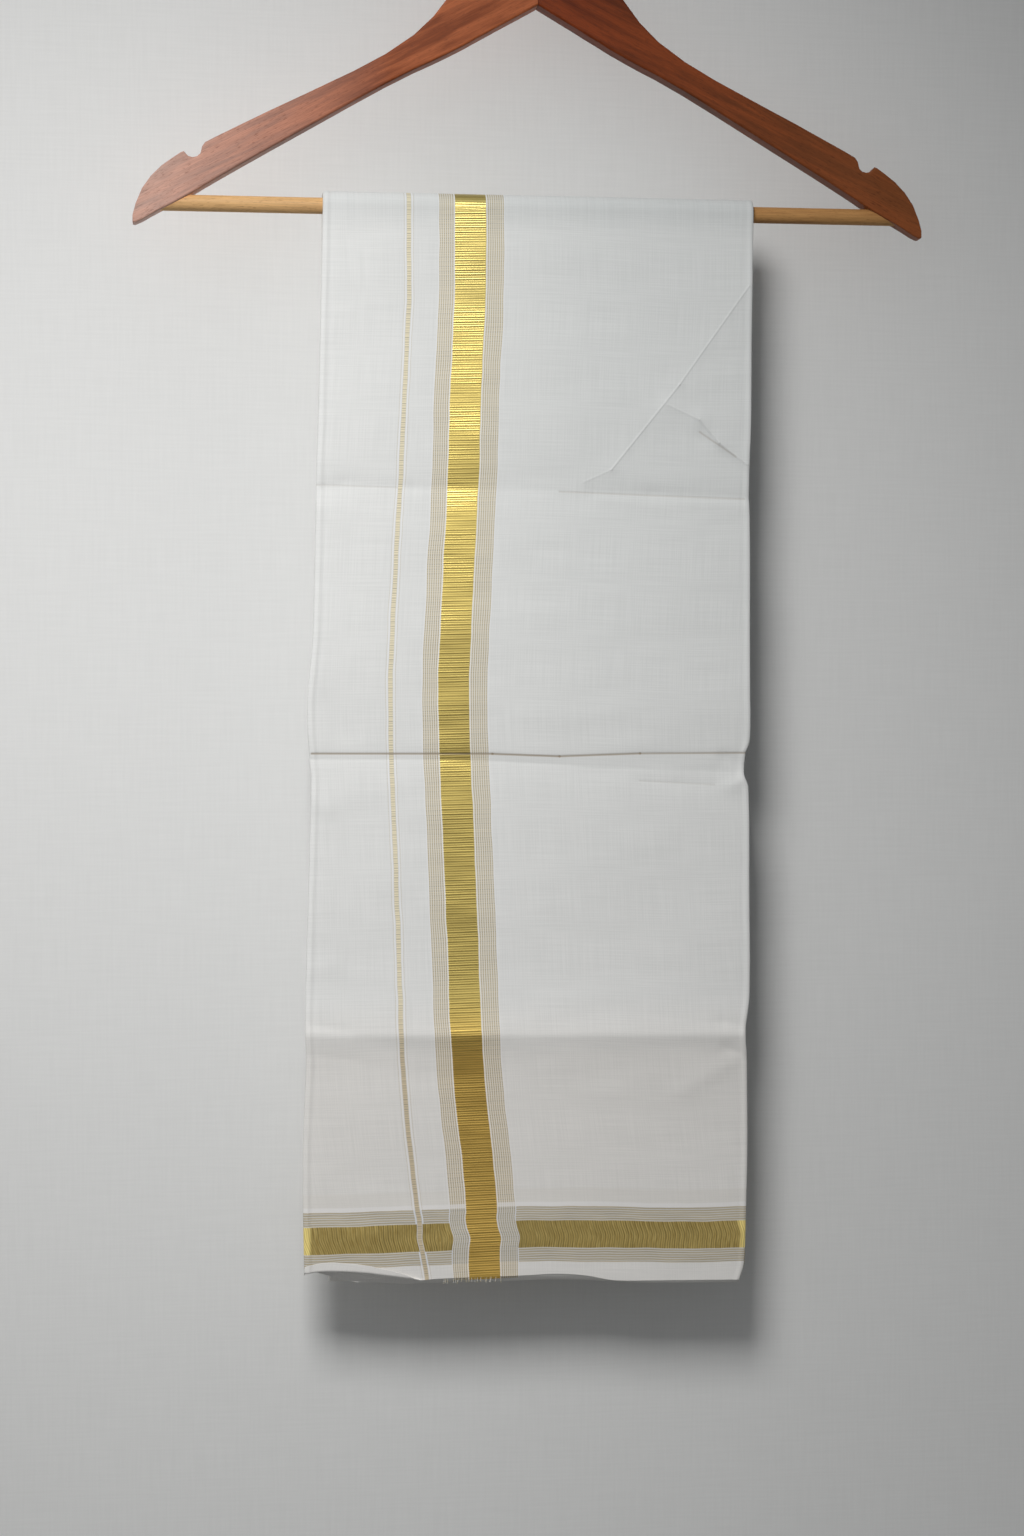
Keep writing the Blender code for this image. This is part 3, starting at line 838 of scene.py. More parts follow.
# %% Thickness
def start_with(item):
    """Deselects everything and makes this object the one that operators act on."""
    bpy.ops.object.select_all(action="DESELECT")
    bpy.context.view_layer.objects.active = item
    item.select_set(True)


def apply_modifier(item, kind, **settings):
    start_with(item)
    modifier = item.modifiers.new(kind.lower(), kind)
    for key, value in settings.items():
        setattr(modifier, key, value)
    bpy.ops.object.modifier_apply(modifier=modifier.name)


def thicken(item, thickness, offset):
    apply_modifier(item, "SOLIDIFY", thickness=thickness * MM, offset=offset,
                   use_even_offset=False)


OUTER_THICKNESS, INNER_THICKNESS = 0.22, 0.12
thicken(outer, OUTER_THICKNESS, -1.0)
thicken(inner, INNER_THICKNESS, 0.0)
print("triangles", len(outer.data.polygons) * 2, len(inner.data.polygons) * 2)

# %% [markdown]
# ## Cotton
# The weave is one shared group: it takes the cloth's own measures and gives back a
# height and a slow variation of tone, as hand-spun threads are uneven.

# %% Weave group
def new_group(name, inputs, outputs):
    """A group with inputs of one kind and number outputs: (tree, its inputs, its outputs)."""
    tree = bpy.data.node_groups.new(name, "ShaderNodeTree")
    kind, labels = inputs
    for label in labels:
        tree.interface.new_socket(label, in_out="INPUT", socket_type="NodeSocket" + kind)
    for label in outputs:
        tree.interface.new_socket(label, in_out="OUTPUT", socket_type="NodeSocketFloat")
    start = tree.nodes.new("NodeGroupInput")
    end = tree.nodes.new("NodeGroupOutput")
    return tree, start.outputs, end.inputs


def use_group(tree, group, *inputs):
    return put(tree, "Group", *inputs, out=None, node_tree=group).outputs


THREAD_MM = 0.42
weave_group, start, end = new_group(
    "cotton_weave", ("Vector", ["Millimetres"]), ["Height", "Tone"])
g = weave_group
over, under = (calc(g, "SINE", times(g, part, 2 * math.pi / THREAD_MM))
               for part in xyz(g, start["Millimetres"])[:2])
slubs = calc(g, "ADD", grain(g, start["Millimetres"], (0.03, 1.6, 0.0)),
             grain(g, start["Millimetres"], (1.6, 0.03, 0.0)))
height = calc(g, "MULTIPLY_ADD", slubs, 0.8, times(g, times(g, over, under), 0.25))
feed(g, end, Height=height, Tone=calc(g, "SUBTRACT", slubs, 1.0))
print("weave group:", len(g.nodes), "nodes")

# %% [markdown]
# The borders are woven, so they follow the cloth's measures too. The cross border
# is a gold band between two groups of fine brown and cream lines, with a double
# line beside it. Along each selvage runs the same band between two narrower groups.

# %% Border group
CROSS_GOLD = 9.0                 # half the gold band; all in millimetres of the cloth
CROSS_CORD = (9.0, 9.6)
CROSS_LEFT, CROSS_RIGHT = -18.6, 19.8
LINE_PITCH, LEVEL_PITCH = 1.27, 1.36
LEVEL_BAND = (6.9, 14.9, 30.6, 38.8)   # lines, gold, lines, from the selvage
# The thin band above the level cord is painted shade, where the border of the ply behind shows
# through the cloth.
LEVEL_CORD, SEE_THROUGH_SHADE_BAND = (38.9, 41.4), (41.2, 49.4)
DOUBLE_CORE, DOUBLE_CORD = (-1.0, 1.15), (1.4, 2.3)   # from the double line's middle
# The thin grey lines at the edges of the double line's cords are painted shade beside the raised
# cords.
DOUBLE_EDGE_SHADE, DOUBLE_OUTER_EDGE_SHADE = (1.15, 1.4), (2.6, 3.0)
DOUBLE_OVER_GOLD, DOUBLE_OVER_LINES = (-1.0, 1.6), (-1.0, 2.3)


def line_wave(tree, value, first, pitch):
    """1 on a metal line, 0 half way to the next one."""
    turned = times(tree, calc(tree, "SUBTRACT", value, first), 2 * math.pi / pitch)
    return calc(tree, "MULTIPLY_ADD", calc(tree, "COSINE", turned), 0.5, 0.5)


def without(tree, mask, other):
    """mask where other isn't."""
    return times(tree, mask, calc(tree, "SUBTRACT", 1.0, other))


def largest(tree, *values):
    out = values[0]
    for value in values[1:]:
        out = calc(tree, "MAXIMUM", out, value)
    return out


border_group, start, end = new_group(
    "woven_borders", ("Vector", ["Millimetres"]),
    ["Cross gold", "Level gold", "Lines", "Ground", "White cords", "Thin band", "Double line"])
g = border_group
wander = put(g, "TexNoise", start["Millimetres"], None, 0.045, 1.0, out=None).outputs["Color"]
wander = put(g, "VectorMath", wander, (0.5, 0.5, 0.5), operation="SUBTRACT")
wander = scaled(g, wander, (1.3, 1.3, 0.0))
threads = put(g, "VectorMath", start["Millimetres"], wander, operation="ADD")
u, v, _ = xyz(g, threads)
from_middle = calc(g, "ABSOLUTE", u)
from_double = calc(g, "ABSOLUTE", calc(g, "ADD", u, LINE_OFFSET))
cross_gold = between(g, u, -CROSS_GOLD, CROSS_GOLD, 0.25)
cross_all = between(g, u, CROSS_LEFT, CROSS_RIGHT, 0.2)
level_gold = without(g, between(g, v, LEVEL_BAND[1], LEVEL_BAND[2], 0.25), cross_all)
level_all = without(g, between(g, v, LEVEL_BAND[0], LEVEL_BAND[3], 0.2), cross_all)
cords = largest(g, between(g, u, CROSS_LEFT - 0.2, CROSS_LEFT + 0.45, 0.1),
                between(g, u, CROSS_RIGHT - 0.45, CROSS_RIGHT + 0.2, 0.1),
                between(g, from_middle, *CROSS_CORD, 0.1),
                times(g, between(g, v, *LEVEL_CORD, 0.3), 0.7),
                between(g, from_double, *DOUBLE_CORD, 0.1))
# Painted shade beside the raised cords, drawn in with the lines' brown.
edge = largest(g, times(g, between(g, from_double, *DOUBLE_EDGE_SHADE, 0.1), 0.6),
               times(g, between(g, from_double, *DOUBLE_OUTER_EDGE_SHADE, 0.1), 0.35))
cross_lines = line_wave(g, from_middle, CROSS_GOLD + 1.2, LINE_PITCH)
level_lines = line_wave(g, v, LEVEL_BAND[0] + 0.2, LEVEL_PITCH)
level_lines = calc(g, "MULTIPLY", level_lines, 1.5, clamp=True)
lines = times(g, cross_lines, without(g, cross_all, cross_gold))
lines = calc(g, "ADD", lines, times(g, level_lines, without(g, level_all, level_gold)))
lines = without(g, without(g, lines, cords),
                between(g, from_double, *DOUBLE_OVER_LINES, 0.1))
feed(g, end, Cross_gold=cross_gold, Lines=largest(g, lines, edge), White_cords=cords,
     Level_gold=without(g, level_gold, between(g, from_double, *DOUBLE_OVER_GOLD, 0.1)),
     Ground=largest(g, cross_all, level_all), Thin_band=between(g, v, *SEE_THROUGH_SHADE_BAND, 0.8),
     Double_line=between(g, from_double, *DOUBLE_CORE, 0.12))
print("border group:", len(g.nodes), "nodes")

# %% [markdown]
# The gold weft is beaten up in ribs, each a thread or two high. They catch the light
# where the cloth leans, and that is what makes the band sparkle in fine level lines.

# %% Rib group
RIB_PITCH = 1.36
rib_group, start, end = new_group(
    "weft_ribs", ("Float", ["Along", "Across"]), ["Height", "Shade"])
g = rib_group
weft_place = put(g, "CombineXYZ", start["Across"], start["Along"])
swing = grain(g, weft_place, (0.05, 0.16, 0.0))
fine = grain(g, weft_place, (0.05, 0.8, 0.0))
patch = remap(g, grain(g, weft_place, (0.02, 0.07, 0.0), 0.0), 0.35, 0.65, 0.45, 1.0)
phase = calc(g, "MULTIPLY_ADD", swing, 1.6, times(g, start["Along"], 2 * math.pi / RIB_PITCH))
double_rib = calc(g, "SINE", times(g, phase, 0.5))
wave = calc(g, "MULTIPLY_ADD", double_rib, 0.42, calc(g, "SINE", phase))
raised = times(g, wave, patch)
# Shade is painted shade and highlight on the ribs: darker on their low parts, a little lighter on
# their crests, with some random tone.
thread = remap(g, raised, -1.0, 0.3, 0.62, 1.06)
feed(g, end, Height=calc(g, "MULTIPLY_ADD", fine, 0.25, times(g, raised, 0.36)),
     Shade=times(g, thread, remap(g, fine, 0.3, 0.7, 0.9, 1.1)))
print("rib group:", len(g.nodes), "nodes")

# %% [markdown]
# The sharp creases that were pressed into the packet are finer than the mesh. Each is
# a short straight stretch with a small ridge or valley, a thin brown line of painted
# shade along it, and a soft painted shade on its lower side.

# %% Pressed line group
PRESSED_LINES = (
    # x_start, drop_start, x_end, drop_end, height, brown painted shade, painted shade below
    (26.6, 158.2, 42.3, 151.1, 0.5, 0, 0.03), (42.3, 151.1, 82.1, 101.4, 1, 0, 0.05),
    (82.1, 101.4, 123.3, 43.3, 0.9, 0, 0.04),
    (75.1, 113.1, 93.9, 121.5, 0.8, 0, 0.05), (93.9, 121.5, 105.7, 134.7, 1.1, 0, 0.07),
    (105.7, 134.7, 122.2, 147.3, 1.1, 0, 0.06), (93.9, 128.5, 115.1, 142.7, -0.7, 0.30, 0.04),
    (-128, 161.4, -82, 162.5, -0.5, 0.16, 0.02), (12, 163.9, 120.4, 167.1, -0.6, 0.24, 0.03),
    (58.7, 330.9, 102.7, 333.2, -0.4, 0.12, 0),
    (-131, 315.2, -27, 315.3, -0.8, 0.85, 0), (-27, 315.3, 12, 316.7, -0.8, 0.9, 0),
    (12, 316.7, 59, 315, -0.8, 0.85, 0), (59, 315, 121, 314.6, -0.7, 0.7, 0),
)
PRESSED_HALF_WIDTH, SHADE_REACH = 1.0, 5.0
line_group, start, end = new_group(
    "pressed_line", ("Vector", ["Place", "From", "To"]), ["Line", "Below"])
g = line_group


def vectors(operation, *inputs, out=0):
    return put(g, "VectorMath", *inputs, operation=operation, out=out)


VALUE = 1                        # the output that holds a single number
run = vectors("SUBTRACT", start["To"], start["From"])
off = vectors("SUBTRACT", start["Place"], start["From"])
share = calc(g, "DIVIDE", vectors("DOT_PRODUCT", off, run, out=VALUE),
             vectors("DOT_PRODUCT", run, run, out=VALUE), clamp=True)
nearest = vectors("SCALE", run, None, None, share)
away = vectors("LENGTH", vectors("SUBTRACT", off, nearest), out=VALUE)
turned = xyz(g, vectors("CROSS_PRODUCT", run, off))[2]
below = remap(g, away, 0.0, SHADE_REACH, 1.0, 0.0)
feed(g, end, Below=times(g, below, calc(g, "GREATER_THAN", turned, 0.0)),
     Line=remap(g, away, 0.0, PRESSED_HALF_WIDTH, 1.0, 0.0, interpolation_type="SMOOTHSTEP"))


def pressed(tree, x, y, drop):
    """Sums over all pressed lines of the front: height, brown painted shade, painted shade below.
    """
    place_node = put(tree, "CombineXYZ", times(tree, x, 1000.0), drop)
    totals = [0.0, 0.0, 0.0]
    for x0, d0, x1, d1, height, brown, shade in PRESSED_LINES:
        line, lower = use_group(tree, line_group, place_node, (x0, d0, 0.0), (x1, d1, 0.0))
        for i, (mask, amount) in enumerate(((line, height), (line, brown), (lower, shade))):
            if amount:
                totals[i] = calc(tree, "MULTIPLY_ADD", mask, amount, totals[i])
    in_front = calc(tree, "LESS_THAN", y, -0.002)
    return [times(tree, total, in_front) for total in totals]


print("pressed lines:", len(PRESSED_LINES))

# %% [markdown]
# The cotton's colours lie over each other: plain cloth, cream ground, lines, cords
# and gold. The room that the gold mirrors isn't known, so a few slow changes of
# colour along the cloth are painted light and shade that stand for its light.

# %% Cotton material
# At the side folds the level gold is painted bright yellow: a painted highlight where it turns to
# the light.
LEFT_HIGHLIGHT_X, RIGHT_HIGHLIGHT_U = (-140.0, -131.4), (150.0, 160.0)   # the gold turns to the light here
# The crown over the bar is painted darker between these drops: painted shade.
CROWN_SHADE_DROPS = (-4.0, 14.0)         # drops between which a tint fades in or out
# The cross gold is painted darker above these drops: painted shade that tempers the window's
# reflection there.
GOLD_SHADE_DROPS = (45.0, 120.0)
# Above these drops the front is painted cooler and darker, most on the right: painted shade.
COOL_SHADE_ABOVE = (150.0, 440.0)
# Below these drops the cloth is tinted warmer and the gold and double line deeper: painted light.
WARM_LIGHT_BELOW = (455.0, 490.0)


def cotton(name, uv_name="cloth_metres"):
    item, tree, shader = new_material(name)
    metric = scaled(tree, put(tree, "UVMap", uv_map=uv_name), (1000.0, 1000.0, 0.0))
    u, v, _ = xyz(tree, metric)
    x, y, z = xyz(tree, object_place(tree))
    drop = calc(tree, "MULTIPLY_ADD", z, -1000.0, BAR_Z / MM)
    height, tone = use_group(tree, weave_group, metric)
    cross, level, lines, ground, cords, thin, double = use_group(tree, border_group, metric)
    weft, weft_shade = use_group(tree, rib_group, v, u)
    warp, warp_shade = use_group(tree, rib_group, u, v)
    # Painted light: the lower cloth is tinted warmer, and its gold and double line deeper.
    painted_warm_light = remap(tree, drop, *WARM_LIGHT_BELOW)

    # The plain cotton, and the cream ground under the lines.
    color = blend_colors(tree, remap(tree, tone, -0.25, 0.25),
                         (0.775, 0.781, 0.770, 1), (0.835, 0.839, 0.828, 1))
    # The thin band's beige tint is painted shade, where the border of the ply behind shows through.
    for mask, layer in ((times(tree, thin, 0.4), (0.745, 0.735, 0.70, 1)),
                        (ground, (0.80, 0.780, 0.715, 1)), (cords, (0.86, 0.865, 0.87, 1))):
        color = blend_colors(tree, mask, color, layer)

    # The coloured threads, each with the painted shade of its ribs.
    brown = multiplied(tree, (0.53, 0.43, 0.25, 1), weft_shade)
    color = blend_colors(tree, times(tree, lines, 0.78), color, brown)
    level_group = between(tree, v, LEVEL_BAND[0], LEVEL_BAND[3], 0.2)
    color = tint(tree, level_group, color, (0.86, 0.89, 0.94, 1))
    # The double line and the cross gold turn deeper below: painted light and shade.
    pale = blend_colors(tree, painted_warm_light, (0.82, 0.73, 0.50, 1), (0.60, 0.50, 0.32, 1))
    bright = blend_colors(tree, painted_warm_light, (0.86, 0.66, 0.20, 1), (0.88, 0.59, 0.15, 1))
    # Painted shade: the cross gold darkens towards the top of the front.
    bright = blend_colors(tree, remap(tree, drop, *GOLD_SHADE_DROPS), (0.63, 0.50, 0.165, 1), bright)
    streaks = grain(tree, metric, (2.2, 0.16, 0.0), 2.0, 0.6)
    olive = blend_colors(tree, remap(tree, streaks, 0.34, 0.66),
                         (0.44, 0.32, 0.10, 1), (0.62, 0.49, 0.185, 1))
    # Painted highlight on the level gold where it turns round the two side folds.
    painted_fold_highlight = calc(tree, "ADD", between(tree, times(tree, x, 1000.0), *LEFT_HIGHLIGHT_X, 0.8),
                    between(tree, u, *RIGHT_HIGHLIGHT_U, 1.5))
    olive = blend_colors(tree, painted_fold_highlight, olive, (1.0, 0.82, 0.30, 1))
    for mask, layer, thread_shade in ((times(tree, double, 0.85), pale, weft_shade),
                                      (cross, bright, weft_shade), (level, olive, warp_shade)):
        color = blend_colors(tree, mask, color, multiplied(tree, layer, thread_shade))

    # Painted light and shade down the cloth, and painted shade in the pressed creases.
    painted_crown_shade = remap(tree, drop, *CROWN_SHADE_DROPS, 1.0, 0.0)
    painted_cool_shade = times(tree, remap(tree, drop, *COOL_SHADE_ABOVE, 1.0, 0.0),
                 remap(tree, x, -0.10, 0.03, 0.25, 1.0))
    for mask, factors in ((painted_warm_light, (1.01, 0.985, 0.965, 1)), (painted_crown_shade, (0.87, 0.88, 0.885, 1)),
                          (painted_cool_shade, (0.90, 0.915, 0.92, 1))):
        color = tint(tree, mask, color, factors)
    line_height, painted_crease_shade, shade = pressed(tree, x, y, drop)
    # Painted shade: a thin brown line along each pressed crease and a soft shade below it.
    color = blend_colors(tree, painted_crease_shade, color, (0.33, 0.27, 0.20, 1))
    color = multiplied(tree, color, calc(tree, "SUBTRACT", 1.0, shade))

    # Metal thread shines, and every thread stands out a little.
    gold = calc(tree, "MAXIMUM", cross, times(tree, lines, 0.42))
    dull = without(tree, level, times(tree, painted_fold_highlight, 0.6))
    rough = calc(tree, "SUBTRACT", remap(tree, gold, 0.0, 1.0, 0.85, 0.33),
                 times(tree, level, 0.37))
    raised = times(tree, weft, calc(tree, "MAXIMUM", cross, times(tree, lines, 0.4)))
    raised = calc(tree, "MULTIPLY_ADD", times(tree, warp, level), 0.25, raised)
    raised = calc(tree, "MULTIPLY_ADD", height, 0.08, raised)
    raised = calc(tree, "ADD", raised, line_height)
    feed(tree, shader.inputs, Base_Color=color, Roughness=rough,
         Metallic=times(tree, calc(tree, "MAXIMUM", gold, dull), 0.88),
         Normal=put(tree, "Bump", 1.0, 0.00018, 1.0, raised))
    return item


dhoti_cotton = cotton("dhoti_cotton")
outer.data.materials.append(dhoti_cotton)
inner.data.materials.append(dhoti_cotton)
print("cotton nodes:", len(dhoti_cotton.node_tree.nodes))

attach(outer, "root")
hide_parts("front_fall", "crown", "back_fall")
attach(inner, "root")
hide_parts("inner_layers_front", "inner_layers_crown", "inner_layers_back")

# %% [markdown]
# The gold weft ends in a small fray at the hem of the cross border. Loose threads
# hang from the raw edge there, each its own short curve with a thread's thickness,
# made into one mesh.

# %% Frayed threads
FRAY_LEFT, FRAY_RIGHT, FRAY_COUNT = -55.0, -22.0, 19


def new_wire(name, radius, resolution):
    """A curve whose lines are round wires."""
    line = bpy.data.curves.new(name, "CURVE")
    line.dimensions = "3D"
    line.bevel_depth = radius * MM
    line.bevel_resolution = resolution
    line.use_fill_caps = True
    return line


def as_mesh(name, line):
    """Turns the wires of a curve into one mesh."""
    start_with(new_object(name, line))
    bpy.ops.object.convert(target="MESH")
    return bpy.context.object


fray_line = new_wire("fray_lines", 0.13, 1)
for i in range(FRAY_COUNT):
    wild = noise.noise_vector((3.7 * i, 0.4, 9.1))
    x = FRAY_LEFT + (FRAY_RIGHT - FRAY_LEFT) * (i + 0.8 * wild.x) / (FRAY_COUNT - 1)
    long = 2.4 + 3.0 * abs(wild.y)
    top = place(("front", FRONT_DROP), 1, x, STACK - 0.35)
    strand = fray_line.splines.new("POLY")
    strand.points.add(4)
    for k, point in enumerate(strand.points):
        t = k / 4
        bend = Vector(((1.6 * wild.x * t + 1.2 * wild.z * t * t) * MM, -0.5 * t * MM,
                       (0.8 - (long + 0.8) * t) * MM))
        point.co = (*(top + bend), 1)
fray = as_mesh("frayed_threads", fray_line)
fray.data.shade_smooth()
thread_cotton, tree, shader = new_material("loose_thread", Roughness=0.8)
twist = put(tree, "TexNoise", object_place(tree), None, 900.0, 2.0)
feed(tree, shader.inputs, Base_Color=blend_colors(
    tree, remap(tree, twist, 0.4, 0.6), (0.80, 0.79, 0.75, 1), (0.62, 0.52, 0.30, 1)))
fray.data.materials.append(thread_cotton)
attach(fray, "root")
print("loose threads:", FRAY_COUNT, "faces", len(fray.data.polygons))

# %% [markdown]
# ## The arms of the hanger
# Two flat boards of red-brown hardwood meet in a mitre at the neck. Each is cut to
# one outline: a wide neck, a long straight arm, a round strap notch and a tip like a
# bird's beak. The board starts as a square face on the mitre, and is extruded outward
# station by station, each one moved and stretched to the height of the outline there.

# %% Arm outline
ARM_SECTIONS = (
    # across from the mitre, top, bottom (above the bar's centre)
    (0.15, 156, 117.5), (3, 155.8, 115.8), (12, 154.8, 110.6), (22, 152, 104.9),
    (30, 147.6, 100.2), (36, 142.4, 96.8), (42, 134.4, 93.2), (47, 126.8, 90.5),
    (52, 120, 87.8), (60, 109.4, 83.7), (71, 98.6, 78.4), (87, 87.2, 69.8),
    (105, 77, 59.4), (132, 63.3, 43.4), (153, 52.8, 31), (170, 44, 20.9),
    (183, 37.2, 13), (188.8, 34, 9.4), (190.4, 31.6, 8.4), (191.4, 27.6, 7.7),
    (193.2, 25.9, 6.6), (195.6, 25.3, 5.1), (198, 25.8, 3.7), (199.6, 27.4, 2.8),
    (200.6, 28.6, 2.2), (202.4, 28, 1.2), (207, 24.8, -1.4), (213, 20.4, -4.3),
    (219, 14.4, -7.8), (224, 7.2, -10.9), (227.6, -1.6, -12.5), (229.3, -8, -12.3),
)
ARM_DEPTH, ARM_END_DEPTH = 13.0, 10.0
EDGE_ROUND = 1.4
LEFT_STRETCH, RIGHT_STRETCH = 1.015, 0.99   # the photographed arms differ a little
TIP_FADE = (212.0, 229.0)        # the rounding gets less between these two places
BAR_HALF_LENGTH = 220.2
SOCKET_CLEARANCE = 0.3
DOWEL_RADIUS = 4.68              # it fills the inmost ply


def arm_depth(across):
    return ARM_DEPTH + (ARM_END_DEPTH - ARM_DEPTH) * ease((across - 195.0) / 34.0)


def apply_place(item):
    start_with(item)
    bpy.ops.object.transform_apply(location=True, rotation=True, scale=True)


def smooth_below(item, degrees):
    """Smooth shading, with sharp edges where faces meet at more than this angle."""
    start_with(item)
    bpy.ops.object.shade_smooth_by_angle(angle=math.radians(degrees))


print("arm stations:", len(ARM_SECTIONS))

# %% Extrude the right arm
def make_arm(name):
    across, top, bottom = ARM_SECTIONS[0]
    bpy.ops.object.select_all(action="DESELECT")
    bpy.ops.mesh.primitive_plane_add(size=MM, rotation=(0, math.pi / 2, 0),
                                     location=from_bar(across, 0, (top + bottom) / 2))
    item = bpy.context.object
    item.name = item.data.name = name
    apply_place(item)
    bpy.ops.object.mode_set(mode="EDIT")
    bpy.ops.mesh.select_all(action="SELECT")
    centre = from_bar(across, 0, (top + bottom) / 2)
    bpy.ops.transform.resize(value=(1, arm_depth(across), top - bottom), center_override=centre)
    for last, now in zip(ARM_SECTIONS, ARM_SECTIONS[1:]):
        step = ((now[0] - last[0]) * MM, 0, (now[1] + now[2] - last[1] - last[2]) / 2 * MM)
        bpy.ops.mesh.extrude_region_move(TRANSFORM_OT_translate={"value": step})
        centre = from_bar(now[0], 0, (now[1] + now[2]) / 2)
        stretch = (1, arm_depth(now[0]) / arm_depth(last[0]),
                   (now[1] - now[2]) / (last[1] - last[2]))
        bpy.ops.transform.resize(value=stretch, center_override=centre)
    bpy.ops.mesh.select_all(action="SELECT")
    bpy.ops.mesh.normals_make_consistent(inside=False)
    bpy.ops.object.mode_set(mode="OBJECT")
    return item


arm_right = make_arm("hanger_arm_right_board")
print("arm box", [round(v, 4) for corner in (arm_right.bound_box[0], arm_right.bound_box[6])
                  for v in corner])

# %% [markdown]
# The long edges are rounded with a router on the real boards. A bevel weight on each
# edge gives the full rounding along the arm and less near the thin tip. The left arm is
# the right one mirrored, with its normals made to point outward again.
# Then a hidden cylinder cuts the sockets that the trouser bar sits in.

# %% Round the edges, mirror, and cut the sockets
weights = arm_right.data.attributes.new("bevel_weight_edge", "FLOAT", "EDGE")
for edge in arm_right.data.edges:
    a, b = (arm_right.data.vertices[i].co / MM for i in edge.vertices)
    outward = max(a.x, b.x)
    if abs(a.x - b.x) > 0.1:
        weights.data[edge.index].value = 1 - 0.65 * ease(
            (outward - TIP_FADE[0]) / (TIP_FADE[1] - TIP_FADE[0]))
    elif outward > TIP_FADE[1]:
        weights.data[edge.index].value = 0.35
apply_modifier(arm_right, "BEVEL", width=EDGE_ROUND * MM, segments=3, limit_method="WEIGHT",
               use_clamp_overlap=False)
start_with(arm_right)
bpy.ops.object.duplicate()
arm_left = bpy.context.object
arm_left.name = arm_left.data.name = "hanger_arm_left_board"
arm_left.scale.x = -LEFT_STRETCH
apply_place(arm_left)
arm_right.scale.x = RIGHT_STRETCH
apply_place(arm_right)
bpy.ops.object.mode_set(mode="EDIT")
bpy.ops.mesh.select_all(action="SELECT")
bpy.ops.mesh.normals_make_consistent(inside=False)
bpy.ops.object.mode_set(mode="OBJECT")


def cylinder(vertices, radius, half_length):
    """A cylinder round the bar's middle line."""
    bpy.ops.object.select_all(action="DESELECT")
    bpy.ops.mesh.primitive_cylinder_add(
        vertices=vertices, radius=radius * MM, depth=2 * half_length * MM,
        location=from_bar(0, 0, 0), rotation=(0, math.pi / 2, 0))
    return bpy.context.object


socket_cutter = cylinder(48, DOWEL_RADIUS + SOCKET_CLEARANCE, BAR_HALF_LENGTH + SOCKET_CLEARANCE)
for arm in (arm_left, arm_right):
    apply_modifier(arm, "BOOLEAN", operation="DIFFERENCE", solver="EXACT", object=socket_cutter)
    smooth_below(arm, 32)
    apply_modifier(arm, "WEIGHTED_NORMAL", weight=100, keep_sharp=True)
bpy.data.objects.remove(socket_cutter)
print("arm faces", len(arm_left.data.polygons), len(arm_right.data.polygons))

# %% [markdown]
# ## The trouser bar
# A turned dowel of paler wood, with its ends eased so that they slip into the
# sockets. It starts as a cylinder, whose two end loops are bevelled.

# %% Bar
dowel = cylinder(64, DOWEL_RADIUS, BAR_HALF_LENGTH)
dowel.name = dowel.data.name = "trouser_bar_dowel"
apply_place(dowel)
apply_modifier(dowel, "BEVEL", width=0.8 * MM, segments=3, limit_method="ANGLE",
               angle_limit=math.radians(60))
smooth_below(dowel, 40)
print("bar faces", len(dowel.data.polygons))

# %% [markdown]
# ## The hook
# A plated steel wire rises from the neck, bends a little to the right and turns
# round into an open loop with a rounded end. The photograph stops below it, so this
# is the usual swivel hook. A curve follows its middle line, gets the wire's
# thickness, and is turned into a mesh. The last points get thinner to round the tip.

# %% Hook
WIRE_RADIUS = 1.75
HOOK_INNER_RADIUS = 18.0
HOOK_NECK_RADIUS = 9.0
HOOK_TIP_ANGLE = 205.0
NECK_RISE = 156.0
SHANK_SOCKET = 14.0
HOOK_TOP = -BAR_Z / MM           # the inside of the loop, above the bar's centre


def hook_points():
    """Places along the wire, above the bar's centre, in millimetres."""
    loop = HOOK_INNER_RADIUS + WIRE_RADIUS
    middle = HOOK_TOP - HOOK_INNER_RADIUS
    rise = math.sqrt((loop + HOOK_NECK_RADIUS) ** 2 - HOOK_NECK_RADIUS ** 2)
    bend_z = middle - rise
    meet = math.atan2(rise, -HOOK_NECK_RADIUS)
    foot = NECK_RISE - SHANK_SOCKET + 0.3
    points = [(0.0, foot + (bend_z - foot) * i / 6) for i in range(6)]
    for i in range(12):
        turn = math.pi + (meet - math.pi) * i / 12
        points.append((HOOK_NECK_RADIUS * (1 + math.cos(turn)),
                       bend_z + HOOK_NECK_RADIUS * math.sin(turn)))
    start, end = meet - math.pi, math.radians(HOOK_TIP_ANGLE)
    for i in range(65):
        turn = start + (end - start) * i / 64
        points.append((loop * math.cos(turn), middle + loop * math.sin(turn)))
    return points


wire = hook_points()
along = Vector((wire[-1][0] - wire[-2][0], wire[-1][1] - wire[-2][1])).normalized()
radii = [1.0] * len(wire)
tip_x, tip_z = wire[-1]
for forward in (0.5, 0.8, 0.95, 1.0):
    reach = forward * WIRE_RADIUS
    wire.append((tip_x + along.x * reach, tip_z + along.y * reach))
    radii.append(max(math.sqrt(1 - forward ** 2), 0.02))
line = new_wire("hook_line", WIRE_RADIUS, 5)
spline = line.splines.new("POLY")
spline.points.add(len(wire) - 1)
for point, (x, z), radius in zip(spline.points, wire, radii):
    point.co = (*from_bar(x, 0, z), 1)
    point.radius = radius
hook = as_mesh("hanger_hook_wire", line)
smooth_below(hook, 40)
hook_top = max(v.co.z for v in hook.data.vertices)
print("hook faces", len(hook.data.polygons), "top", round(hook_top, 4))

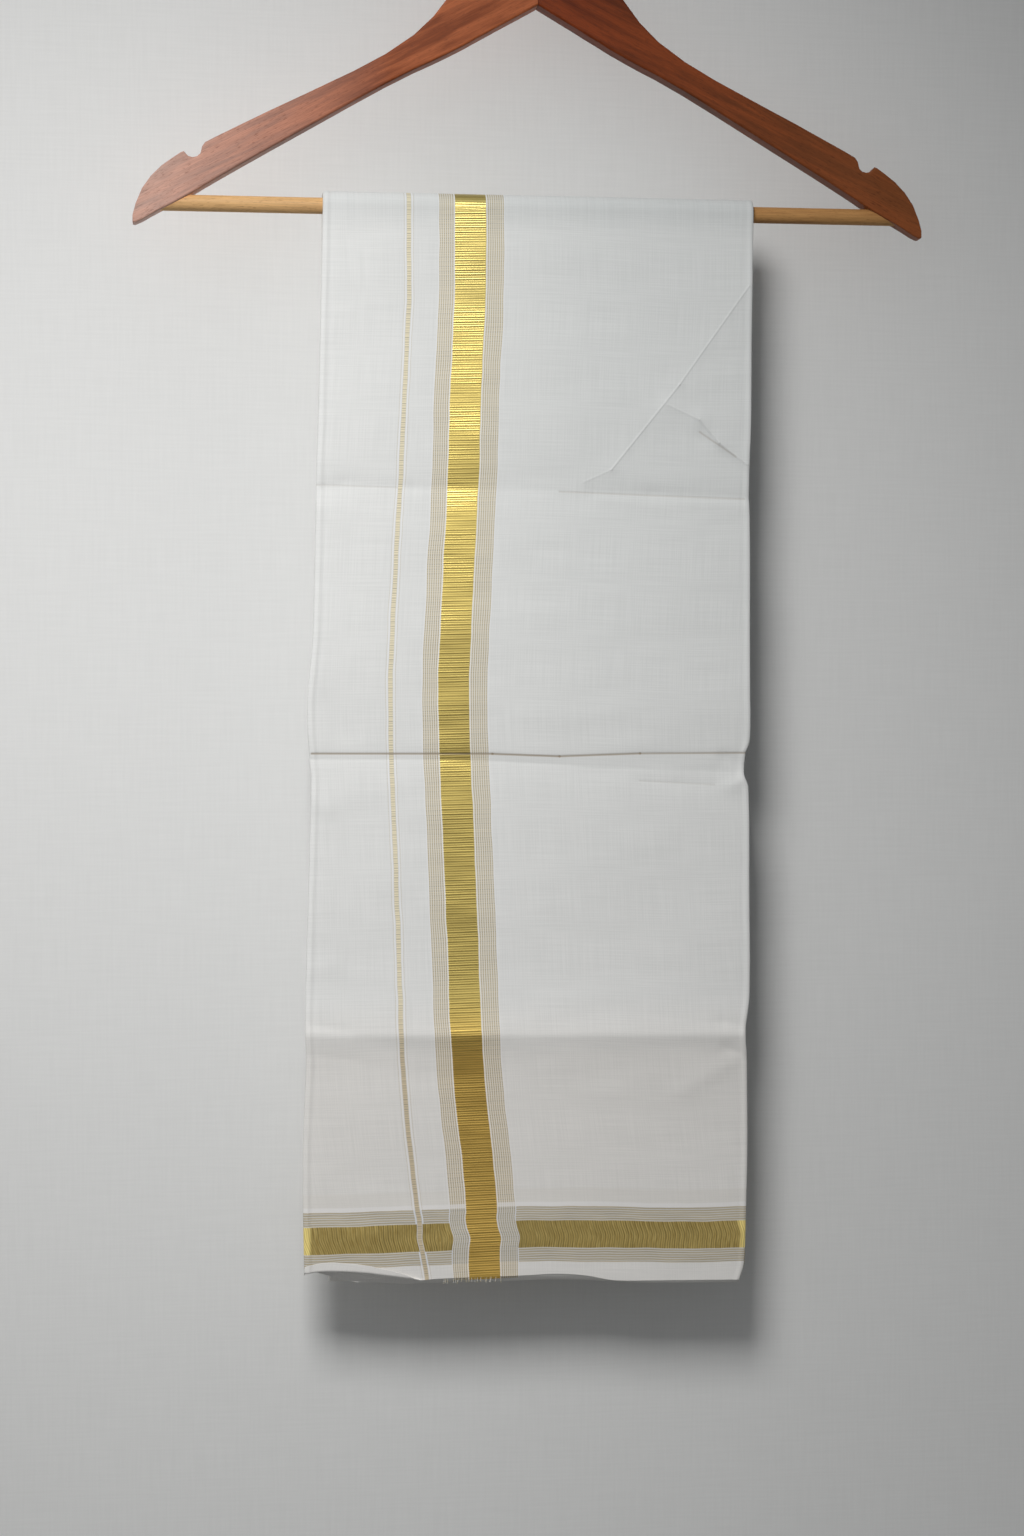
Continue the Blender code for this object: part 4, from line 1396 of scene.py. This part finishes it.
# %% [markdown]
# ## Wood
# Both woods share one grain group. Long stretched noise gives the figure, a finer
# one the fibres, and short dark dashes are the open pores. Each board turns the
# pattern to run along itself, and a painted light makes its colour lighter towards
# one end, as the light on it does. The two arms are one wood, painted lighter on the
# left and darker on the right.

# %% Grain group
grain_group, start, end = new_group(
    "wood_grain", ("Vector", ["Place"]), ["Figure", "Fibre", "Pores"])
g = grain_group
broad = grain(g, start["Place"], (4.0, 30.0, 60.0), 3.0, 0.55, None, 0.6)
rings = grain(g, start["Place"], (22.0, 160.0, 260.0), 4.0, 0.6, None, 0.8)
fibre = grain(g, start["Place"], (60.0, 1500.0, 1800.0), 3.0, 0.5)
pore = grain(g, start["Place"], (260.0, 2600.0, 2600.0))
figure = calc(g, "MULTIPLY_ADD", broad, 0.5, times(g, rings, 0.5))
feed(g, end, Figure=remap(g, figure, 0.43, 0.57), Fibre=fibre, Pores=remap(g, pore, 0.60, 0.70))
print("grain group:", len(g.nodes), "nodes")

# %% Wood materials
def wood(name, turn, light, dark, pore_color, gloss, painted_light_color, painted_light_span):
    """A wood whose colour turns to a painted light colour between two places across."""
    item, tree, shader = new_material(
        name, Specular_IOR_Level=0.12, Coat_Weight=0.02, Coat_Roughness=0.3)
    place_node = object_place(tree)
    turned = put(tree, "Mapping", place_node, None, (0.0, turn, 0.0))
    figure, fibre, pores = use_group(tree, grain_group, turned)
    color = blend_colors(tree, figure, dark, light)
    # Painted light: the colour turns lighter towards one end, as the light on the piece does.
    color = blend_colors(tree, remap(tree, xyz(tree, place_node)[0], *painted_light_span), color, painted_light_color)
    color = multiplied(tree, color, remap(tree, fibre, 0.3, 0.7, 0.86, 1.12))
    color = blend_colors(tree, times(tree, pores, 0.45), color, pore_color)
    height = calc(tree, "SUBTRACT", times(tree, fibre, 0.4), pores)
    feed(tree, shader.inputs, Base_Color=color,
         Roughness=remap(tree, fibre, 0.3, 0.7, gloss - 0.05, gloss + 0.08),
         Normal=put(tree, "Bump", 0.25, 0.00015, 1.0, height))
    return item


ARM_SLOPE = math.radians(27.5)
# The two arms are one wood: the left arm's colours are painted lighter, with a painted sheen
# towards its tip, and the right arm's darker, as painted shade.
for piece, *looks in (
        # object, name, turn, light, dark, pores, gloss, painted light colour, where it fades in and
        # how much
        (arm_left, "arm_wood_painted_light", ARM_SLOPE, (0.42, 0.12, 0.045, 1), (0.225, 0.057, 0.020, 1),
         (0.12, 0.03, 0.012, 1), 0.42, (0.78, 0.62, 0.55, 1), (-0.085, -0.219, 0, 0.42)),
        (arm_right, "arm_wood_painted_shade", -ARM_SLOPE, (0.205, 0.038, 0.0085, 1),
         (0.095, 0.016, 0.0035, 1), (0.05, 0.012, 0.004, 1), 0.42, (0.36, 0.135, 0.045, 1),
         (0.02, 0.219, 0, 0.4)),
        (dowel, "bar_wood_oiled", 0.0, (0.54, 0.285, 0.105, 1), (0.40, 0.195, 0.070, 1),
         (0.22, 0.10, 0.035, 1), 0.5, (0.86, 0.56, 0.27, 1), (0.05, -0.12, 0, 0.55))):
    piece.data.materials.clear()
    piece.data.materials.append(wood(*looks))
steel, tree, shader = new_material("plated_steel", Metallic=1.0, Base_Color=(0.66, 0.66, 0.67, 1))
smudge = put(tree, "TexNoise", object_place(tree), None, 220.0, 4.0, 0.6)
feed(tree, shader.inputs, Roughness=remap(tree, smudge, 0.35, 0.65, 0.16, 0.32))
hook.data.materials.append(steel)

for piece, node, slot in ((arm_left, "hanger_arm_left", "arm_wood"),
                          (arm_right, "hanger_arm_right", "arm_wood"),
                          (dowel, "trouser_bar", "bar_wood"), (hook, "hanger_hook", "hook_steel")):
    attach(piece, "root")
    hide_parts(node)

# %% [markdown]
# The room's soft light reaches behind the thin hanger, so in the photograph it has no
# shadow but the close one where it touches. The window light leaves the hanger out of
# its shadows, and the cloth keeps its own.

# %% Shadows of the window light
beyond = bpy.data.collections.new("window_shadow_exceptions")
window.light_linking.blocker_collection = beyond
for piece in (arm_left, arm_right, dowel, hook):
    beyond.objects.link(piece)
for entry in beyond.collection_objects:
    entry.light_linking.link_state = "EXCLUDE"
